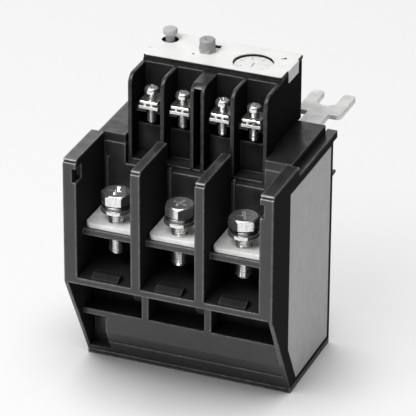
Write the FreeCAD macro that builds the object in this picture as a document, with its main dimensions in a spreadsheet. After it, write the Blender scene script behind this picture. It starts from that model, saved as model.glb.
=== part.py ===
import FreeCAD, Part
import math
import operator
import os

import Sketcher
from FreeCAD import Vector

# Three-pole thermal overload relay, lying on its back with the setting face up.
# X runs across the poles, Y from the terminal side to the tongue side, Z up to the setting face.
# Lengths are worked out from the front of the barrier walls (Y = 0) and the underside (Z = 0); every
# piece is then moved back by half the overall depth, so the origin is the middle of the underside.

doc = FreeCAD.newDocument("overload_relay")
sheet = doc.addObject("Spreadsheet::Sheet", "size")
nodes = []


class Size:
    """A length with its number and the sheet expression that gives it."""

    def __init__(self, value, text):
        self.value = value
        self.text = text

    def __add__(self, other):
        return joined(operator.add, self, "+", other)

    def __radd__(self, other):
        return joined(operator.add, other, "+", self)

    def __sub__(self, other):
        return joined(operator.sub, self, "-", other)

    def __rsub__(self, other):
        return joined(operator.sub, other, "-", self)

    def __mul__(self, other):
        return joined(operator.mul, self, "*", other)

    def __rmul__(self, other):
        return joined(operator.mul, other, "*", self)

    def __truediv__(self, other):
        return joined(operator.truediv, self, "/", other)

    def __neg__(self):
        return joined(operator.mul, -1, "*", self)


def as_size(length):
    return length if isinstance(length, Size) else Size(float(length), f"({float(length)})")


def joined(sum_of, left, sign, right):
    left, right = as_size(left), as_size(right)
    return Size(sum_of(left.value, right.value), f"({left.text} {sign} {right.text})")


def dimension(name, value):
    """Write one driving dimension in the sheet and hand it back for use in the model."""
    row = dimension.rows = dimension.rows + 1
    sheet.set(f"A{row}", name)
    sheet.set(f"B{row}", str(value))
    sheet.setAlias(f"B{row}", name)
    return Size(value, f"size.{name}")


dimension.rows = 0

# Main case, counted from the front of the barrier walls and from the underside
pole_pitch = dimension("pole_pitch", 24.5)
barrier = dimension("barrier", 3.7)
outer_wall = dimension("outer_wall", 5.1)
case_depth = dimension("case_depth", 61.0)
case_shoulder = dimension("case_shoulder", 86.0)
barrier_rise = dimension("barrier_rise", 3.4)
barrier_bevel = dimension("barrier_bevel", 0.6)
wall_groove = dimension("wall_groove", 0.6)
wall_lip = dimension("wall_lip", 0.5)
base_thickness = dimension("base_thickness", 2.0)
base_pad = dimension("base_pad", 1.5)
floor_underside = dimension("floor_underside", 40.0)
floor_thickness = dimension("floor_thickness", 2.4)
cell_depth = dimension("cell_depth", 25.8)
cell_back = dimension("cell_back", 2.5)
side_wall = dimension("side_wall", 3.5)
rear_wall = dimension("rear_wall", 3.4)
partition = dimension("partition", 2.4)
shelf_front = dimension("shelf_front", 5.6)
shelf_rise = dimension("shelf_rise", 17.6)
shelf_thickness = dimension("shelf_thickness", 2.5)
guide_rib = dimension("guide_rib", 1.0)
guide_rib_length = dimension("guide_rib_length", 18.0)
snap_notch = dimension("snap_notch", 1.5)
snap_notch_drop = dimension("snap_notch_drop", 3.6)
snap_notch_height = dimension("snap_notch_height", 5.3)
snap_notch_depth = dimension("snap_notch_depth", 5.0)

# Chin below the terminal cells
chin_setback = dimension("chin_setback", 21.2)
cheek = dimension("cheek", 1.4)
panel_setback = dimension("panel_setback", 13.8)
ledge_height = dimension("ledge_height", 22.6)
ledge_thickness = dimension("ledge_thickness", 2.4)
window_wall = dimension("window_wall", 4.3)
window_rib = dimension("window_rib", 2.7)
window_rib_shift = dimension("window_rib_shift", 2.1)
window_boss = dimension("window_boss", 2.2)
window_boss_height = dimension("window_boss_height", 2.5)
panel_cutout = dimension("panel_cutout", 8.6)
panel_cutout_foot = dimension("panel_cutout_foot", 4.0)
chin_ridge_height = dimension("chin_ridge_height", 8.7)
chin_ridge = dimension("chin_ridge", 0.6)

# Rear lugs, side plate and marker wedges
lug_width = dimension("lug_width", 4.0)
lug_reach = dimension("lug_reach", 4.2)
lug_thickness = dimension("lug_thickness", 3.0)
rear_tab_drop = dimension("rear_tab_drop", 16.7)
rear_tab_width = dimension("rear_tab_width", 1.2)
rear_tab_reach = dimension("rear_tab_reach", 3.3)
side_plate_thickness = dimension("side_plate_thickness", 0.35)
side_plate_front = dimension("side_plate_front", 17.3)
side_plate_rear_margin = dimension("side_plate_rear_margin", 2.5)
side_plate_top_margin = dimension("side_plate_top_margin", 3.5)
side_plate_foot = dimension("side_plate_foot", 3.8)
marker_width = dimension("marker_width", 10.4)
marker_depth = dimension("marker_depth", 4.6)
marker_height = dimension("marker_height", 2.2)
marker_lip = dimension("marker_lip", 0.8)
marker_setback = dimension("marker_setback", 0.6)

# Load terminals
load_plate_width = dimension("load_plate_width", 17.0)
load_plate_thickness = dimension("load_plate_thickness", 2.0)
load_plate_front = dimension("load_plate_front", 6.5)
load_plate_inset = dimension("load_plate_inset", 1.3)
load_collar_radius = dimension("load_collar_radius", 4.2)
load_tail_width = dimension("load_tail_width", 8.0)
load_tail_reach = dimension("load_tail_reach", 2.7)
load_leg_drop = dimension("load_leg_drop", 16.0)
load_leg_thickness = dimension("load_leg_thickness", 1.6)
load_screw_setback = dimension("load_screw_setback", 12.4)
load_screw_radius = dimension("load_screw_radius", 3.0)
load_screw_length = dimension("load_screw_length", 20.0)
hex_across_flats = dimension("hex_across_flats", 10.0)
hex_height = dimension("hex_height", 4.2)
flat_washer_radius = dimension("flat_washer_radius", 5.75)
flat_washer_thickness = dimension("flat_washer_thickness", 1.5)
spring_washer_radius = dimension("spring_washer_radius", 5.3)
spring_washer_thickness = dimension("spring_washer_thickness", 1.6)
spring_washer_split = dimension("spring_washer_split", 1.2)
lug_gap = dimension("lug_gap", 4.4)

# Line tongues, heaters and bimetals
tongue_offset = dimension("tongue_offset", 5.2)
tongue_thickness = dimension("tongue_thickness", 2.0)
tongue_reach = dimension("tongue_reach", 29.7)
tongue_stem = dimension("tongue_stem", 8.4)
fork_width = dimension("fork_width", 17.2)
fork_slot = dimension("fork_slot", 7.1)
fork_slot_depth = dimension("fork_slot_depth", 11.5)
fork_length = dimension("fork_length", 18.2)
fork_corner = dimension("fork_corner", 2.2)
tongue_leg_drop = dimension("tongue_leg_drop", 16.0)
tongue_leg_margin = dimension("tongue_leg_margin", 4.8)
heater_width = dimension("heater_width", 6.4)
heater_strip = dimension("heater_strip", 0.8)
heater_foot = dimension("heater_foot", 12.0)
bimetal_thickness = dimension("bimetal_thickness", 1.0)
bimetal_width = dimension("bimetal_width", 8.0)
bimetal_tip_width = dimension("bimetal_tip_width", 4.0)
bimetal_spacing = dimension("bimetal_spacing", 14.7)
bimetal_foot = dimension("bimetal_foot", 3.0)

# Trip sliders
trip_travel = dimension("trip_travel", 3.5)
slider_margin = dimension("slider_margin", 2.0)
slider_width = dimension("slider_width", 9.0)
slider_thickness = dimension("slider_thickness", 2.0)
slider_drop = dimension("slider_drop", 16.0)
slider_gap = dimension("slider_gap", 1.0)
slider_tab = dimension("slider_tab", 1.2)

# Clearances
fit_gap = dimension("fit_gap", 0.1)
running_gap = dimension("running_gap", 0.4)
shaft_clearance = dimension("shaft_clearance", 0.05)

# Top cover and control block
cover_plate = dimension("cover_plate", 1.5)
cover_inset = dimension("cover_inset", 3.0)
cover_skirt = dimension("cover_skirt", 2.0)
block_wall = dimension("block_wall", 1.6)
block_gap = dimension("block_gap", 2.1)
block_overhang = dimension("block_overhang", 2.0)
block_height = dimension("block_height", 23.0)
block_corner = dimension("block_corner", 4.0)
apron_depth = dimension("apron_depth", 8.1)
apron_drop = dimension("apron_drop", 8.0)
aux_slot_half = dimension("aux_slot_half", 1.3)
aux_rib = dimension("aux_rib", 1.35)
aux_divider = dimension("aux_divider", 1.5)
aux_side = dimension("aux_side", 1.45)
aux_inner_width = dimension("aux_inner_width", 10.0)
aux_outer_width = dimension("aux_outer_width", 11.0)
aux_depth = dimension("aux_depth", 13.1)
aux_shelf_inset = dimension("aux_shelf_inset", 4.6)
aux_shelf_thickness = dimension("aux_shelf_thickness", 2.4)
aux_plate_inset = dimension("aux_plate_inset", 2.1)
aux_plate_rise = dimension("aux_plate_rise", 9.4)
aux_plate_thickness = dimension("aux_plate_thickness", 1.2)
aux_plate_width = dimension("aux_plate_width", 7.4)
aux_tail = dimension("aux_tail", 4.0)
aux_strip = dimension("aux_strip", 1.6)
strip_gap = dimension("strip_gap", 1.0)
aux_screw_inset = dimension("aux_screw_inset", 5.8)
aux_screw_radius = dimension("aux_screw_radius", 1.75)
aux_head_radius = dimension("aux_head_radius", 2.7)
aux_head_height = dimension("aux_head_height", 2.2)
aux_screw_length = dimension("aux_screw_length", 11.6)
aux_washer_thickness = dimension("aux_washer_thickness", 1.0)
aux_washer_lift = dimension("aux_washer_lift", 0.9)
aux_head_lift = dimension("aux_head_lift", 2.4)

# Lid, face plate and what works through them
lid_rise = dimension("lid_rise", 0.6)
lid_thickness = dimension("lid_thickness", 1.0)
lid_rib = dimension("lid_rib", 1.0)
lid_rib_drop = dimension("lid_rib_drop", 1.2)
lid_rib_length = dimension("lid_rib_length", 6.0)
face_thickness = dimension("face_thickness", 0.4)
face_overhang = dimension("face_overhang", 0.8)
face_inset = dimension("face_inset", 0.2)
face_corner = dimension("face_corner", 0.8)
face_tab_inset = dimension("face_tab_inset", 6.2)
face_tab_length = dimension("face_tab_length", 9.7)
face_tab_drop = dimension("face_tab_drop", 4.9)
window_x = dimension("window_x", -4.2)
window_margin = dimension("window_margin", 4.8)
window_width = dimension("window_width", 2.8)
window_length = dimension("window_length", 2.4)
reset_margin = dimension("reset_margin", 5.4)
reset_height = dimension("reset_height", 4.5)
reset_head_radius = dimension("reset_head_radius", 2.65)
reset_head_height = dimension("reset_head_height", 2.2)
reset_neck_radius = dimension("reset_neck_radius", 1.7)
reset_collar_radius = dimension("reset_collar_radius", 2.5)
reset_hole_radius = dimension("reset_hole_radius", 3.1)
reset_stroke = dimension("reset_stroke", 1.5)
reset_stem_radius = dimension("reset_stem_radius", 1.4)
reset_guide = dimension("reset_guide", 2.0)
reset_collar_height = dimension("reset_collar_height", 2.0)
reset_spring_length = dimension("reset_spring_length", 3.4)
reset_spring_radius = dimension("reset_spring_radius", 2.0)
spring_wire = dimension("spring_wire", 0.4)
mode_x = dimension("mode_x", -6.2)
mode_inset = dimension("mode_inset", 10.7)
mode_height = dimension("mode_height", 4.9)
mode_radius = dimension("mode_radius", 2.9)
mode_hex_height = dimension("mode_hex_height", 1.4)
mode_shaft_radius = dimension("mode_shaft_radius", 1.7)
mode_collar_radius = dimension("mode_collar_radius", 2.6)
mode_collar_height = dimension("mode_collar_height", 1.5)
mode_dimple = dimension("mode_dimple", 1.2)
dial_x = dimension("dial_x", 12.5)
dial_inset = dimension("dial_inset", 8.2)
dial_radius = dimension("dial_radius", 7.15)
dial_ring_gap = dimension("dial_ring_gap", 0.3)
dial_sink = dimension("dial_sink", 1.05)
dial_flange = dimension("dial_flange", 0.7)
dial_flange_thickness = dimension("dial_flange_thickness", 1.3)
dial_hub_radius = dimension("dial_hub_radius", 3.0)
dial_stem_radius = dimension("dial_stem_radius", 2.0)
dial_bearing = dimension("dial_bearing", 4.0)
dial_post_radius = dimension("dial_post_radius", 2.8)
dial_slot = dimension("dial_slot", 3.6)
dial_slot_width = dimension("dial_slot_width", 0.9)
dial_slot_depth = dimension("dial_slot_depth", 0.7)

# Trip mechanism in the control block
pivot_rise = dimension("pivot_rise", 13.5)
lever_thickness = dimension("lever_thickness", 1.2)
rocker_x = dimension("rocker_x", -11.0)
layer_width = dimension("layer_width", 3.0)
hub_radius = dimension("hub_radius", 2.6)
pin_radius = dimension("pin_radius", 1.25)
pin_boss_radius = dimension("pin_boss_radius", 2.4)
nc_x = dimension("nc_x", -17.0)
no_x = dimension("no_x", -2.5)
bridge_width = dimension("bridge_width", 2.4)
bridge_thickness = dimension("bridge_thickness", 1.0)
contact_gap = dimension("contact_gap", 1.0)
rocker_top = dimension("rocker_top", 1.5)
press_gap = dimension("press_gap", 0.8)
paddle_thickness = dimension("paddle_thickness", 1.8)
paddle_drop = dimension("paddle_drop", 3.8)
paddle_lift = dimension("paddle_lift", 1.5)
cam_radius = dimension("cam_radius", 4.2)
cam_rise = dimension("cam_rise", 2.4)
cam_thickness = dimension("cam_thickness", 3.0)
cam_drop = dimension("cam_drop", 1.4)
adjuster_x = dimension("adjuster_x", 21.5)
adjuster_spacing = dimension("adjuster_spacing", 5.8)
adjuster_bar = dimension("adjuster_bar", 2.0)
adjuster_reach = dimension("adjuster_reach", 17.5)
adjuster_pin_depth = dimension("adjuster_pin_depth", 8.0)

# Fixing screws
base_screw_radius = dimension("base_screw_radius", 1.2)
base_screw_length = dimension("base_screw_length", 9.0)
screw_boss_wall = dimension("screw_boss_wall", 1.8)
boss_overlap = dimension("boss_overlap", 0.6)
base_screw_head = dimension("base_screw_head", 2.2)
base_screw_head_height = dimension("base_screw_head_height", 1.2)
block_screw_x = dimension("block_screw_x", 16.5)
block_screw_radius = dimension("block_screw_radius", 1.0)
block_screw_length = dimension("block_screw_length", 8.0)

# Places across the poles
cell_width = pole_pitch - barrier
half_case = pole_pitch + cell_width / 2 + outer_wall
poles = [-pole_pitch, 0 * pole_pitch, pole_pitch]
tongue_pitch = pole_pitch + tongue_offset
aux_inner = aux_slot_half + aux_rib + aux_inner_width / 2
aux_outer = aux_inner + (aux_inner_width + aux_outer_width) / 2 + aux_divider
aux_places = [-aux_outer, -aux_inner, aux_inner, aux_outer]
aux_widths = [aux_outer_width, aux_inner_width, aux_inner_width, aux_outer_width]
half_block = aux_outer + aux_outer_width / 2 + aux_side
room_half = half_block - block_wall
reset_x = reset_collar_radius + fit_gap - room_half
half_stem = tongue_stem / 2
half_lever = lever_thickness / 2
half_slider = half_case - side_wall - trip_travel - slider_margin
tab_right = half_stem + running_gap + slider_tab
lever_x = tab_right + running_gap + half_lever

# Places from front to rear
fork_tip = case_depth + tongue_reach
origin_setback = fork_tip / 2
chamber_front = cell_depth + cell_back
chamber_rear = case_depth - rear_wall
window_setback = chamber_front - window_wall
load_leg_setback = chamber_front + load_tail_reach
heater_rear = chamber_rear - tongue_leg_margin
bimetal_setback = chamber_front + bimetal_spacing
slider_front = bimetal_setback - slider_width / 2
slider_rear = slider_front + slider_width
block_front = cell_depth + block_gap
block_rear = case_depth + block_overhang
apron_setback = block_front + apron_depth
aux_back = block_front + aux_depth
aux_shelf_front = block_front + aux_shelf_inset
aux_plate_front = block_front + aux_plate_inset
aux_screw_setback = block_front + aux_screw_inset
room_front = aux_back + block_wall
room_rear = block_rear - block_wall
strip_fronts = [room_front + strip_gap, room_front + 2 * strip_gap + aux_strip]
layer_front = strip_fronts[1] + aux_strip + 2 * running_gap
layer_rear = layer_front + layer_width
face_front = room_front
face_rear = block_rear + face_overhang
face_tab_start = face_front + face_tab_inset
reset_y = block_rear - reset_margin
window_y = block_rear - window_margin
mode_y = face_front + mode_inset
dial_y = face_front + dial_inset
adjuster_y = dial_y + adjuster_spacing

# Places from the underside up
floor_top = floor_underside + floor_thickness
shelf_top = floor_top + shelf_rise
load_plate_top = shelf_top + load_plate_thickness
washer_seat = load_plate_top + lug_gap
spring_washer_seat = washer_seat + flat_washer_thickness
hex_seat = spring_washer_seat + spring_washer_thickness
barrier_top = case_shoulder + barrier_rise
tongue_top = case_shoulder + tongue_thickness
slider_height = case_shoulder - slider_drop
pull_slider_height = slider_height + slider_thickness + slider_gap
slider_roof = pull_slider_height + slider_thickness
cover_top = tongue_top + cover_plate
apron_foot = case_shoulder - apron_drop
block_floor = cover_top + block_wall
block_wall_top = cover_top + block_height
lid_underside = block_wall_top + lid_rise
face_underside = lid_underside + lid_thickness
face_top = face_underside + face_thickness
aux_plate_height = cover_top + aux_plate_rise
aux_plate_top = aux_plate_height + aux_plate_thickness
aux_washer_seat = aux_plate_top + aux_washer_lift
aux_washer_top = aux_washer_seat + aux_washer_thickness
pivot_height = cover_top + pivot_rise
flange_top = lid_underside - 2 * fit_gap
flange_foot = flange_top - dial_flange_thickness
cam_top = flange_foot - cam_drop
cam_height = cam_top - cam_thickness
post_top = cam_height - running_gap
dial_post_top = pivot_height - hub_radius - running_gap
dial_stem_foot = dial_post_top - dial_bearing

pin_bore = pin_radius + shaft_clearance
past = 1.0  # how far a cut runs beyond the face it opens


def chin_y(height):
    """Depth of the sloping chin at a height."""
    return chin_setback * (1 - height / floor_underside)


def chin_z(depth):
    """Height of the sloping chin at a depth."""
    return floor_underside * (1 - depth / chin_setback)


def bind(thing, prop, length):
    thing.setExpression(prop, as_size(length).text)


def place(thing, x=0, y=0, z=0):
    """Put a piece at its spot, counted from the middle of the underside."""
    bind(thing, "Placement.Base.x", x)
    bind(thing, "Placement.Base.y", y - origin_setback)
    bind(thing, "Placement.Base.z", z)


def rect(a0, b0, a1, b1):
    return [(a0, b0), (a1, b0), (a1, b1), (a0, b1)]


def band(middle, width, b0, b1):
    return rect(middle - width / 2, b0, middle + width / 2, b1)


class Disc:
    """A round outline: its centre in the sketch and its radius."""

    def __init__(self, a, b, radius):
        self.a, self.b, self.radius = as_size(a), as_size(b), as_size(radius)


class Piece:
    """A body made of extruded outlines and turned profiles, each bound to the sheet."""

    def __init__(self, label):
        self.body = doc.addObject("PartDesign::Body", label)
        self.body.Label = label
        self.body.AllowCompound = True
        self.count = 0

    def named(self, word):
        self.count += 1
        return f"{self.body.Name}_{word}_{self.count}"

    def sketch(self, plane, level):
        drawing = self.body.newObject("Sketcher::SketchObject", self.named("outline"))
        role = f"{plane}_Plane"
        support = next(f for f in self.body.Origin.OriginFeatures if f.Role == role)
        drawing.AttachmentSupport = (support, "")
        drawing.MapMode = "FlatFace"
        bind(drawing, "AttachmentOffset.Base.z", -level if plane == "XZ" else level)
        return drawing

    def draw(self, drawing, loop):
        first = drawing.GeometryCount
        if isinstance(loop, Disc):
            centre = Vector(loop.a.value, loop.b.value, 0)
            drawing.addGeometry(Part.Circle(centre, Vector(0, 0, 1), loop.radius.value), False)
            self.pin_point(drawing, first, 3, loop.a, loop.b)
            at = drawing.addConstraint(Sketcher.Constraint("Radius", first, loop.radius.value))
            bind(drawing, f"Constraints[{at}]", loop.radius)
            return
        corners = [(as_size(a), as_size(b)) for a, b in loop]
        for i, (a, b) in enumerate(corners):
            c, d = corners[(i + 1) % len(corners)]
            line = Part.LineSegment(Vector(a.value, b.value, 0), Vector(c.value, d.value, 0))
            drawing.addGeometry(line, False)
        for i, (a, b) in enumerate(corners):
            following = first + (i + 1) % len(corners)
            drawing.addConstraint(Sketcher.Constraint("Coincident", first + i, 2, following, 1))
            self.pin_point(drawing, first + i, 1, a, b)

    def pin_point(self, drawing, line, end, a, b):
        for kind, length in (("DistanceX", a), ("DistanceY", b)):
            at = drawing.addConstraint(Sketcher.Constraint(kind, -1, 1, line, end, length.value))
            bind(drawing, f"Constraints[{at}]", length)

    def extrude(self, kind, plane, start, end, loops):
        start, end = as_size(start), as_size(end)
        drawing = self.sketch(plane, (start + end) / 2)
        for loop in loops:
            self.draw(drawing, loop)
        before = self.body.Shape.Volume if self.body.Tip else 0
        feature = self.body.newObject(f"PartDesign::{kind}", self.named(kind.lower()))
        feature.Profile = drawing
        feature.SideType = "Symmetric"
        bind(feature, "Length", end - start)
        doc.recompute()
        change = self.body.Shape.Volume - before
        if change * (1 if kind == "Pad" else -1) <= 0:
            raise RuntimeError(f"{feature.Name} changes nothing")

    def add(self, plane, start, end, *loops):
        self.extrude("Pad", plane, start, end, loops)
        return self

    def cut(self, plane, start, end, *loops):
        self.extrude("Pocket", plane, start, end, loops)
        return self

    def turn(self, *corners):
        """Turn a profile of (radius, height) corners about the upright axis."""
        drawing = self.sketch("XZ", as_size(0))
        self.draw(drawing, list(corners))
        feature = self.body.newObject("PartDesign::Revolution", self.named("revolution"))
        feature.Profile = drawing
        feature.ReferenceAxis = (drawing, ["V_Axis"])
        feature.Angle = 360
        doc.recompute()
        return self

    def dress(self, kind, prop, length, spots):
        """Round or bevel the edges whose middles lie nearest to the given points."""
        base = self.body.Tip
        edges = base.Shape.Edges
        names = []
        for spot in spots:
            point = Vector(*[as_size(v).value for v in spot])
            near = min(range(len(edges)), key=lambda i: (edges[i].CenterOfMass - point).Length)
            names.append(f"Edge{near + 1}")
        feature = self.body.newObject(f"PartDesign::{kind}", self.named(kind.lower()))
        feature.Base = (base, names)
        bind(feature, prop, length)
        doc.recompute()
        return self

    def fillet(self, radius, *spots):
        return self.dress("Fillet", "Radius", radius, spots)

    def chamfer(self, size, *spots):
        return self.dress("Chamfer", "Size", size, spots)

    def node(self, x=0, y=0, z=0):
        place(self.body, as_size(x), as_size(y), as_size(z))
        nodes.append(self.body)


def group(label, piece, spots):
    """Several like pieces in one node, each a solid of its own."""
    links = []
    for i, (x, y, z) in enumerate(spots):
        link = doc.addObject("App::Link", f"{label}_{i + 1}")
        link.LinkedObject = piece.body
        place(link, x, y, z)
        links.append(link)
    gathered = doc.addObject("Part::Compound", label)
    gathered.Label = label
    gathered.Links = links
    nodes.append(gathered)


def shaped(label, shape, x, y, z):
    """A piece whose form is worked out point by point."""
    feature = doc.addObject("Part::Feature", label)
    feature.Label = label
    feature.Shape = shape
    place(feature, x, y, z)
    nodes.append(feature)


# Main case: one moulding with the side profile extruded across the poles and everything else cut from it.
cheek_inside = half_case - cheek
wall_inside = half_case - outer_wall
groove_top = barrier_top - barrier_bevel
groove_foot = groove_top - wall_groove
groove_back = wall_lip + wall_groove
snap_notch_top = barrier_top - snap_notch_drop
snap_notch_foot = snap_notch_top - snap_notch_height
guide_rib_offset = (load_plate_width + guide_rib) / 2
rear_tab_height = case_shoulder - rear_tab_drop
window_ribs = [-pole_pitch / 2 - window_rib_shift, pole_pitch / 2 - window_rib_shift]
window_edges = [-cheek_inside]
for rib in window_ribs:
    window_edges += [rib - window_rib / 2, rib + window_rib / 2]
window_edges.append(cheek_inside)
windows = [(window_edges[i], window_edges[i + 1]) for i in (0, 2, 4)]
panel_foot = chin_z(panel_setback)
chamber_edges = [
    (side_wall - half_case, -pole_pitch / 2 - partition / 2),
    (partition / 2 - pole_pitch / 2, pole_pitch / 2 - partition / 2),
    (pole_pitch / 2 + partition / 2, half_case - side_wall),
]
screw_boss_radius = base_screw_radius + screw_boss_wall
screw_boss_x = half_case - side_wall - screw_boss_radius + boss_overlap
screw_boss_y = chamber_rear - screw_boss_radius + boss_overlap
front_screw_y = (window_setback + chamber_front) / 2
front_screw_x = pole_pitch + cell_width / 4
base_screw_spots = [
    (side * x, y)
    for side in (-1, 1)
    for x, y in ((front_screw_x, front_screw_y), (screw_boss_x, screw_boss_y))
]
side_plate_rear = case_depth - side_plate_rear_margin
side_plate_top = case_shoulder - side_plate_top_margin
side_plate_outline = [
    (side_plate_front, side_plate_top),
    (side_plate_rear, side_plate_top),
    (side_plate_rear, side_plate_foot),
    (side_plate_front + chin_y(side_plate_foot) - chin_y(floor_underside / 2), side_plate_foot),
    (side_plate_front, floor_underside / 2),
]
block_screw_y = case_depth - rear_wall / 2

case = Piece("main_case")
case.add("YZ", -half_case, half_case, [
    (0, floor_underside),
    (0, groove_foot - wall_lip),
    (wall_lip, groove_foot),
    (groove_back, groove_foot),
    (groove_back, groove_top),
    (wall_lip, groove_top),
    (wall_lip + barrier_bevel, barrier_top),
    (cell_depth, barrier_top),
    (cell_depth, case_shoulder),
    (case_depth, case_shoulder),
    (case_depth, base_thickness),
    (chin_y(base_thickness), base_thickness),
])
case.cut("XY", floor_top, barrier_top + past, *[band(x, cell_width, -past, cell_depth) for x in poles])
case.cut("XZ", -past, snap_notch_depth,
         rect(wall_inside - past, snap_notch_foot, wall_inside + snap_notch, snap_notch_top),
         rect(-wall_inside - snap_notch, snap_notch_foot, past - wall_inside, snap_notch_top))
case.add("XY", shelf_top - shelf_thickness, shelf_top,
         *[band(x, cell_width, shelf_front, cell_depth) for x in poles])
case.add("XZ", cell_depth - guide_rib, cell_depth, *[
    band(x - guide_rib_offset, guide_rib, load_plate_top, load_plate_top + guide_rib_length) for x in poles
])
case.cut("XY", base_thickness - past, case_shoulder + past,
         *[rect(a, chamber_front, b, chamber_rear) for a, b in chamber_edges])
case.cut("XY", apron_foot, barrier_top + past,
         rect(-half_block - fit_gap, cell_depth, half_block + fit_gap, apron_setback + fit_gap))
case.cut("YZ", -pole_pitch, pole_pitch,
         rect(slider_front - running_gap, slider_height - running_gap,
              slider_rear + running_gap, slider_roof + running_gap))
case.cut("XZ", cell_depth - past, chamber_front + past,
         *[band(x, load_tail_width + 2 * fit_gap, shelf_top, load_plate_top + fit_gap) for x in poles])
case.cut("XY", shelf_top - shelf_thickness - past, shelf_top,
         *[Disc(x, load_screw_setback, load_collar_radius + running_gap) for x in poles])
case.cut("YZ", -cheek_inside, cheek_inside, [
    (panel_setback, floor_underside),
    (panel_setback, panel_foot),
    (panel_setback - 4 * past, panel_foot),
    (-2 * past, floor_underside),
])
case.cut("XZ", panel_setback - past, window_setback,
         *[rect(a, ledge_height, b, floor_underside) for a, b in windows])
case.cut("XZ", 0, window_setback,
         rect(-cheek_inside, panel_cutout_foot, panel_cutout - cheek_inside, ledge_height - ledge_thickness))
case.add("XZ", window_setback - window_boss_height, window_setback + past / 2, *[
    Disc(b - window_boss * 2, ledge_height + window_boss * 2, window_boss) for a, b in windows
])
case.add("YZ", panel_cutout - cheek_inside, cheek_inside, [
    (chin_y(chin_ridge_height) - chin_ridge, chin_ridge_height),
    (chin_y(chin_ridge_height) + past, chin_ridge_height),
    (chin_y(chin_ridge_height - chin_ridge) + past, chin_ridge_height - chin_ridge),
    (chin_y(chin_ridge_height - chin_ridge) - chin_ridge, chin_ridge_height - chin_ridge),
])
case.cut("YZ", half_case - side_plate_thickness, half_case + past, side_plate_outline)
case.add("XY", case_shoulder - lug_thickness, case_shoulder, *[
    band(side * (half_case - lug_width / 2), lug_width, case_depth - past, case_depth + lug_reach)
    for side in (-1, 1)
])
case.add("XY", rear_tab_height, rear_tab_height + rear_tab_width, *[
    band(side * (half_case - rear_tab_width / 2), rear_tab_width,
         case_depth - past, case_depth + rear_tab_reach)
    for side in (-1, 1)
])
case.add("XY", base_thickness, base_thickness + base_screw_length,
         *[Disc(side * screw_boss_x, screw_boss_y, screw_boss_radius) for side in (-1, 1)])
case.cut("XY", base_thickness - past, base_thickness + base_screw_length - past,
         *[Disc(x, y, base_screw_radius) for x, y in base_screw_spots])
case.cut("XY", case_shoulder - 5 * block_screw_radius, case_shoulder + past,
         *[Disc(side * block_screw_x, block_screw_y, block_screw_radius) for side in (-1, 1)])
case.node()

# Base cover: flat lid screwed up into the case, with a raised pad that locates it in each heater chamber.
head_clearance = base_screw_head + 2 * fit_gap
base_pad_rear = screw_boss_y - screw_boss_radius - running_gap
base = Piece("base_cover")
base.add("XY", 0, base_thickness, rect(-half_case, chin_y(base_thickness), half_case, case_depth))
base.add("XY", base_thickness / 2, base_thickness + base_pad, *[
    rect(a + running_gap, chamber_front + running_gap, b - running_gap, base_pad_rear)
    for a, b in chamber_edges
])
base.cut("XY", -past, base_thickness + past, *[Disc(x, y, base_screw_radius) for x, y in base_screw_spots])
base.cut("XY", -past, base_screw_head_height, *[Disc(x, y, head_clearance) for x, y in base_screw_spots])
base.node()

base_screw = Piece("base_screw")
base_screw.turn(
    (0, 0),
    (base_screw_head, 0),
    (base_screw_head, base_screw_head_height),
    (base_screw_radius, base_screw_head_height),
    (base_screw_radius, base_screw_length - past),
    (0, base_screw_length - past),
)
group("case_screws", base_screw, [(x, y, as_size(0)) for x, y in base_screw_spots])

# Top cover: shallow tray over the chambers, notched for the control block, the tongues and the trip lever.
cover_half = half_case - cover_inset
cover_front = cell_depth + fit_gap
cover_rear = case_depth - 2 * fit_gap
cover_underside = cover_top - cover_plate
notch_half = half_block + fit_gap
notch_rear = apron_setback + fit_gap
lever_opening = rect(
    lever_x - lever_thickness,
    layer_front - running_gap,
    lever_x + lever_thickness + trip_travel / 2,
    layer_rear + running_gap,
)
block_screw_spots = [(side * block_screw_x, block_screw_y) for side in (-1, 1)]
tongue_places = [-tongue_pitch, 0 * tongue_pitch, tongue_pitch]

cover = Piece("top_cover")
cover.add("XY", case_shoulder, cover_top, [
    (-cover_half, cover_front),
    (-notch_half, cover_front),
    (-notch_half, notch_rear),
    (notch_half, notch_rear),
    (notch_half, cover_front),
    (cover_half, cover_front),
    (cover_half, cover_rear),
    (-cover_half, cover_rear),
])
cover.cut("XY", case_shoulder - past, cover_underside, [
    (cover_skirt - cover_half, cover_front + cover_skirt),
    (-notch_half - cover_skirt, cover_front + cover_skirt),
    (-notch_half - cover_skirt, notch_rear + cover_skirt),
    (notch_half + cover_skirt, notch_rear + cover_skirt),
    (notch_half + cover_skirt, cover_front + cover_skirt),
    (cover_half - cover_skirt, cover_front + cover_skirt),
    (cover_half - cover_skirt, cover_rear - cover_skirt),
    (-cover_half + cover_skirt, cover_rear - cover_skirt),
])
cover.cut("XZ", cover_rear - cover_skirt - past, cover_rear + past,
          *[band(x, tongue_stem + 2 * fit_gap, case_shoulder - past, tongue_top) for x in tongue_places])
cover.cut("XY", case_shoulder - past, cover_top + past, lever_opening)
cover.cut("XY", case_shoulder - past, cover_top + past,
          *[Disc(x, y, block_screw_radius) for x, y in block_screw_spots])
cover.node()

# Control block housing: the four auxiliary cells in front and the mechanism room behind, in one moulding.
apron_room = apron_foot + block_wall
apron_back = apron_setback - block_wall
aux_shelf_underside = aux_plate_height - aux_shelf_thickness
boss_front = layer_rear + running_gap
pin_front = layer_front - running_gap
pin_rear = room_rear - block_wall
guide_top = lid_underside - block_wall
guide_underside = guide_top - reset_guide
spring_seat = guide_underside - reset_collar_height - reset_spring_length
ledge_edge = reset_x + reset_hole_radius
ledge_front = reset_y - reset_hole_radius

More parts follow.
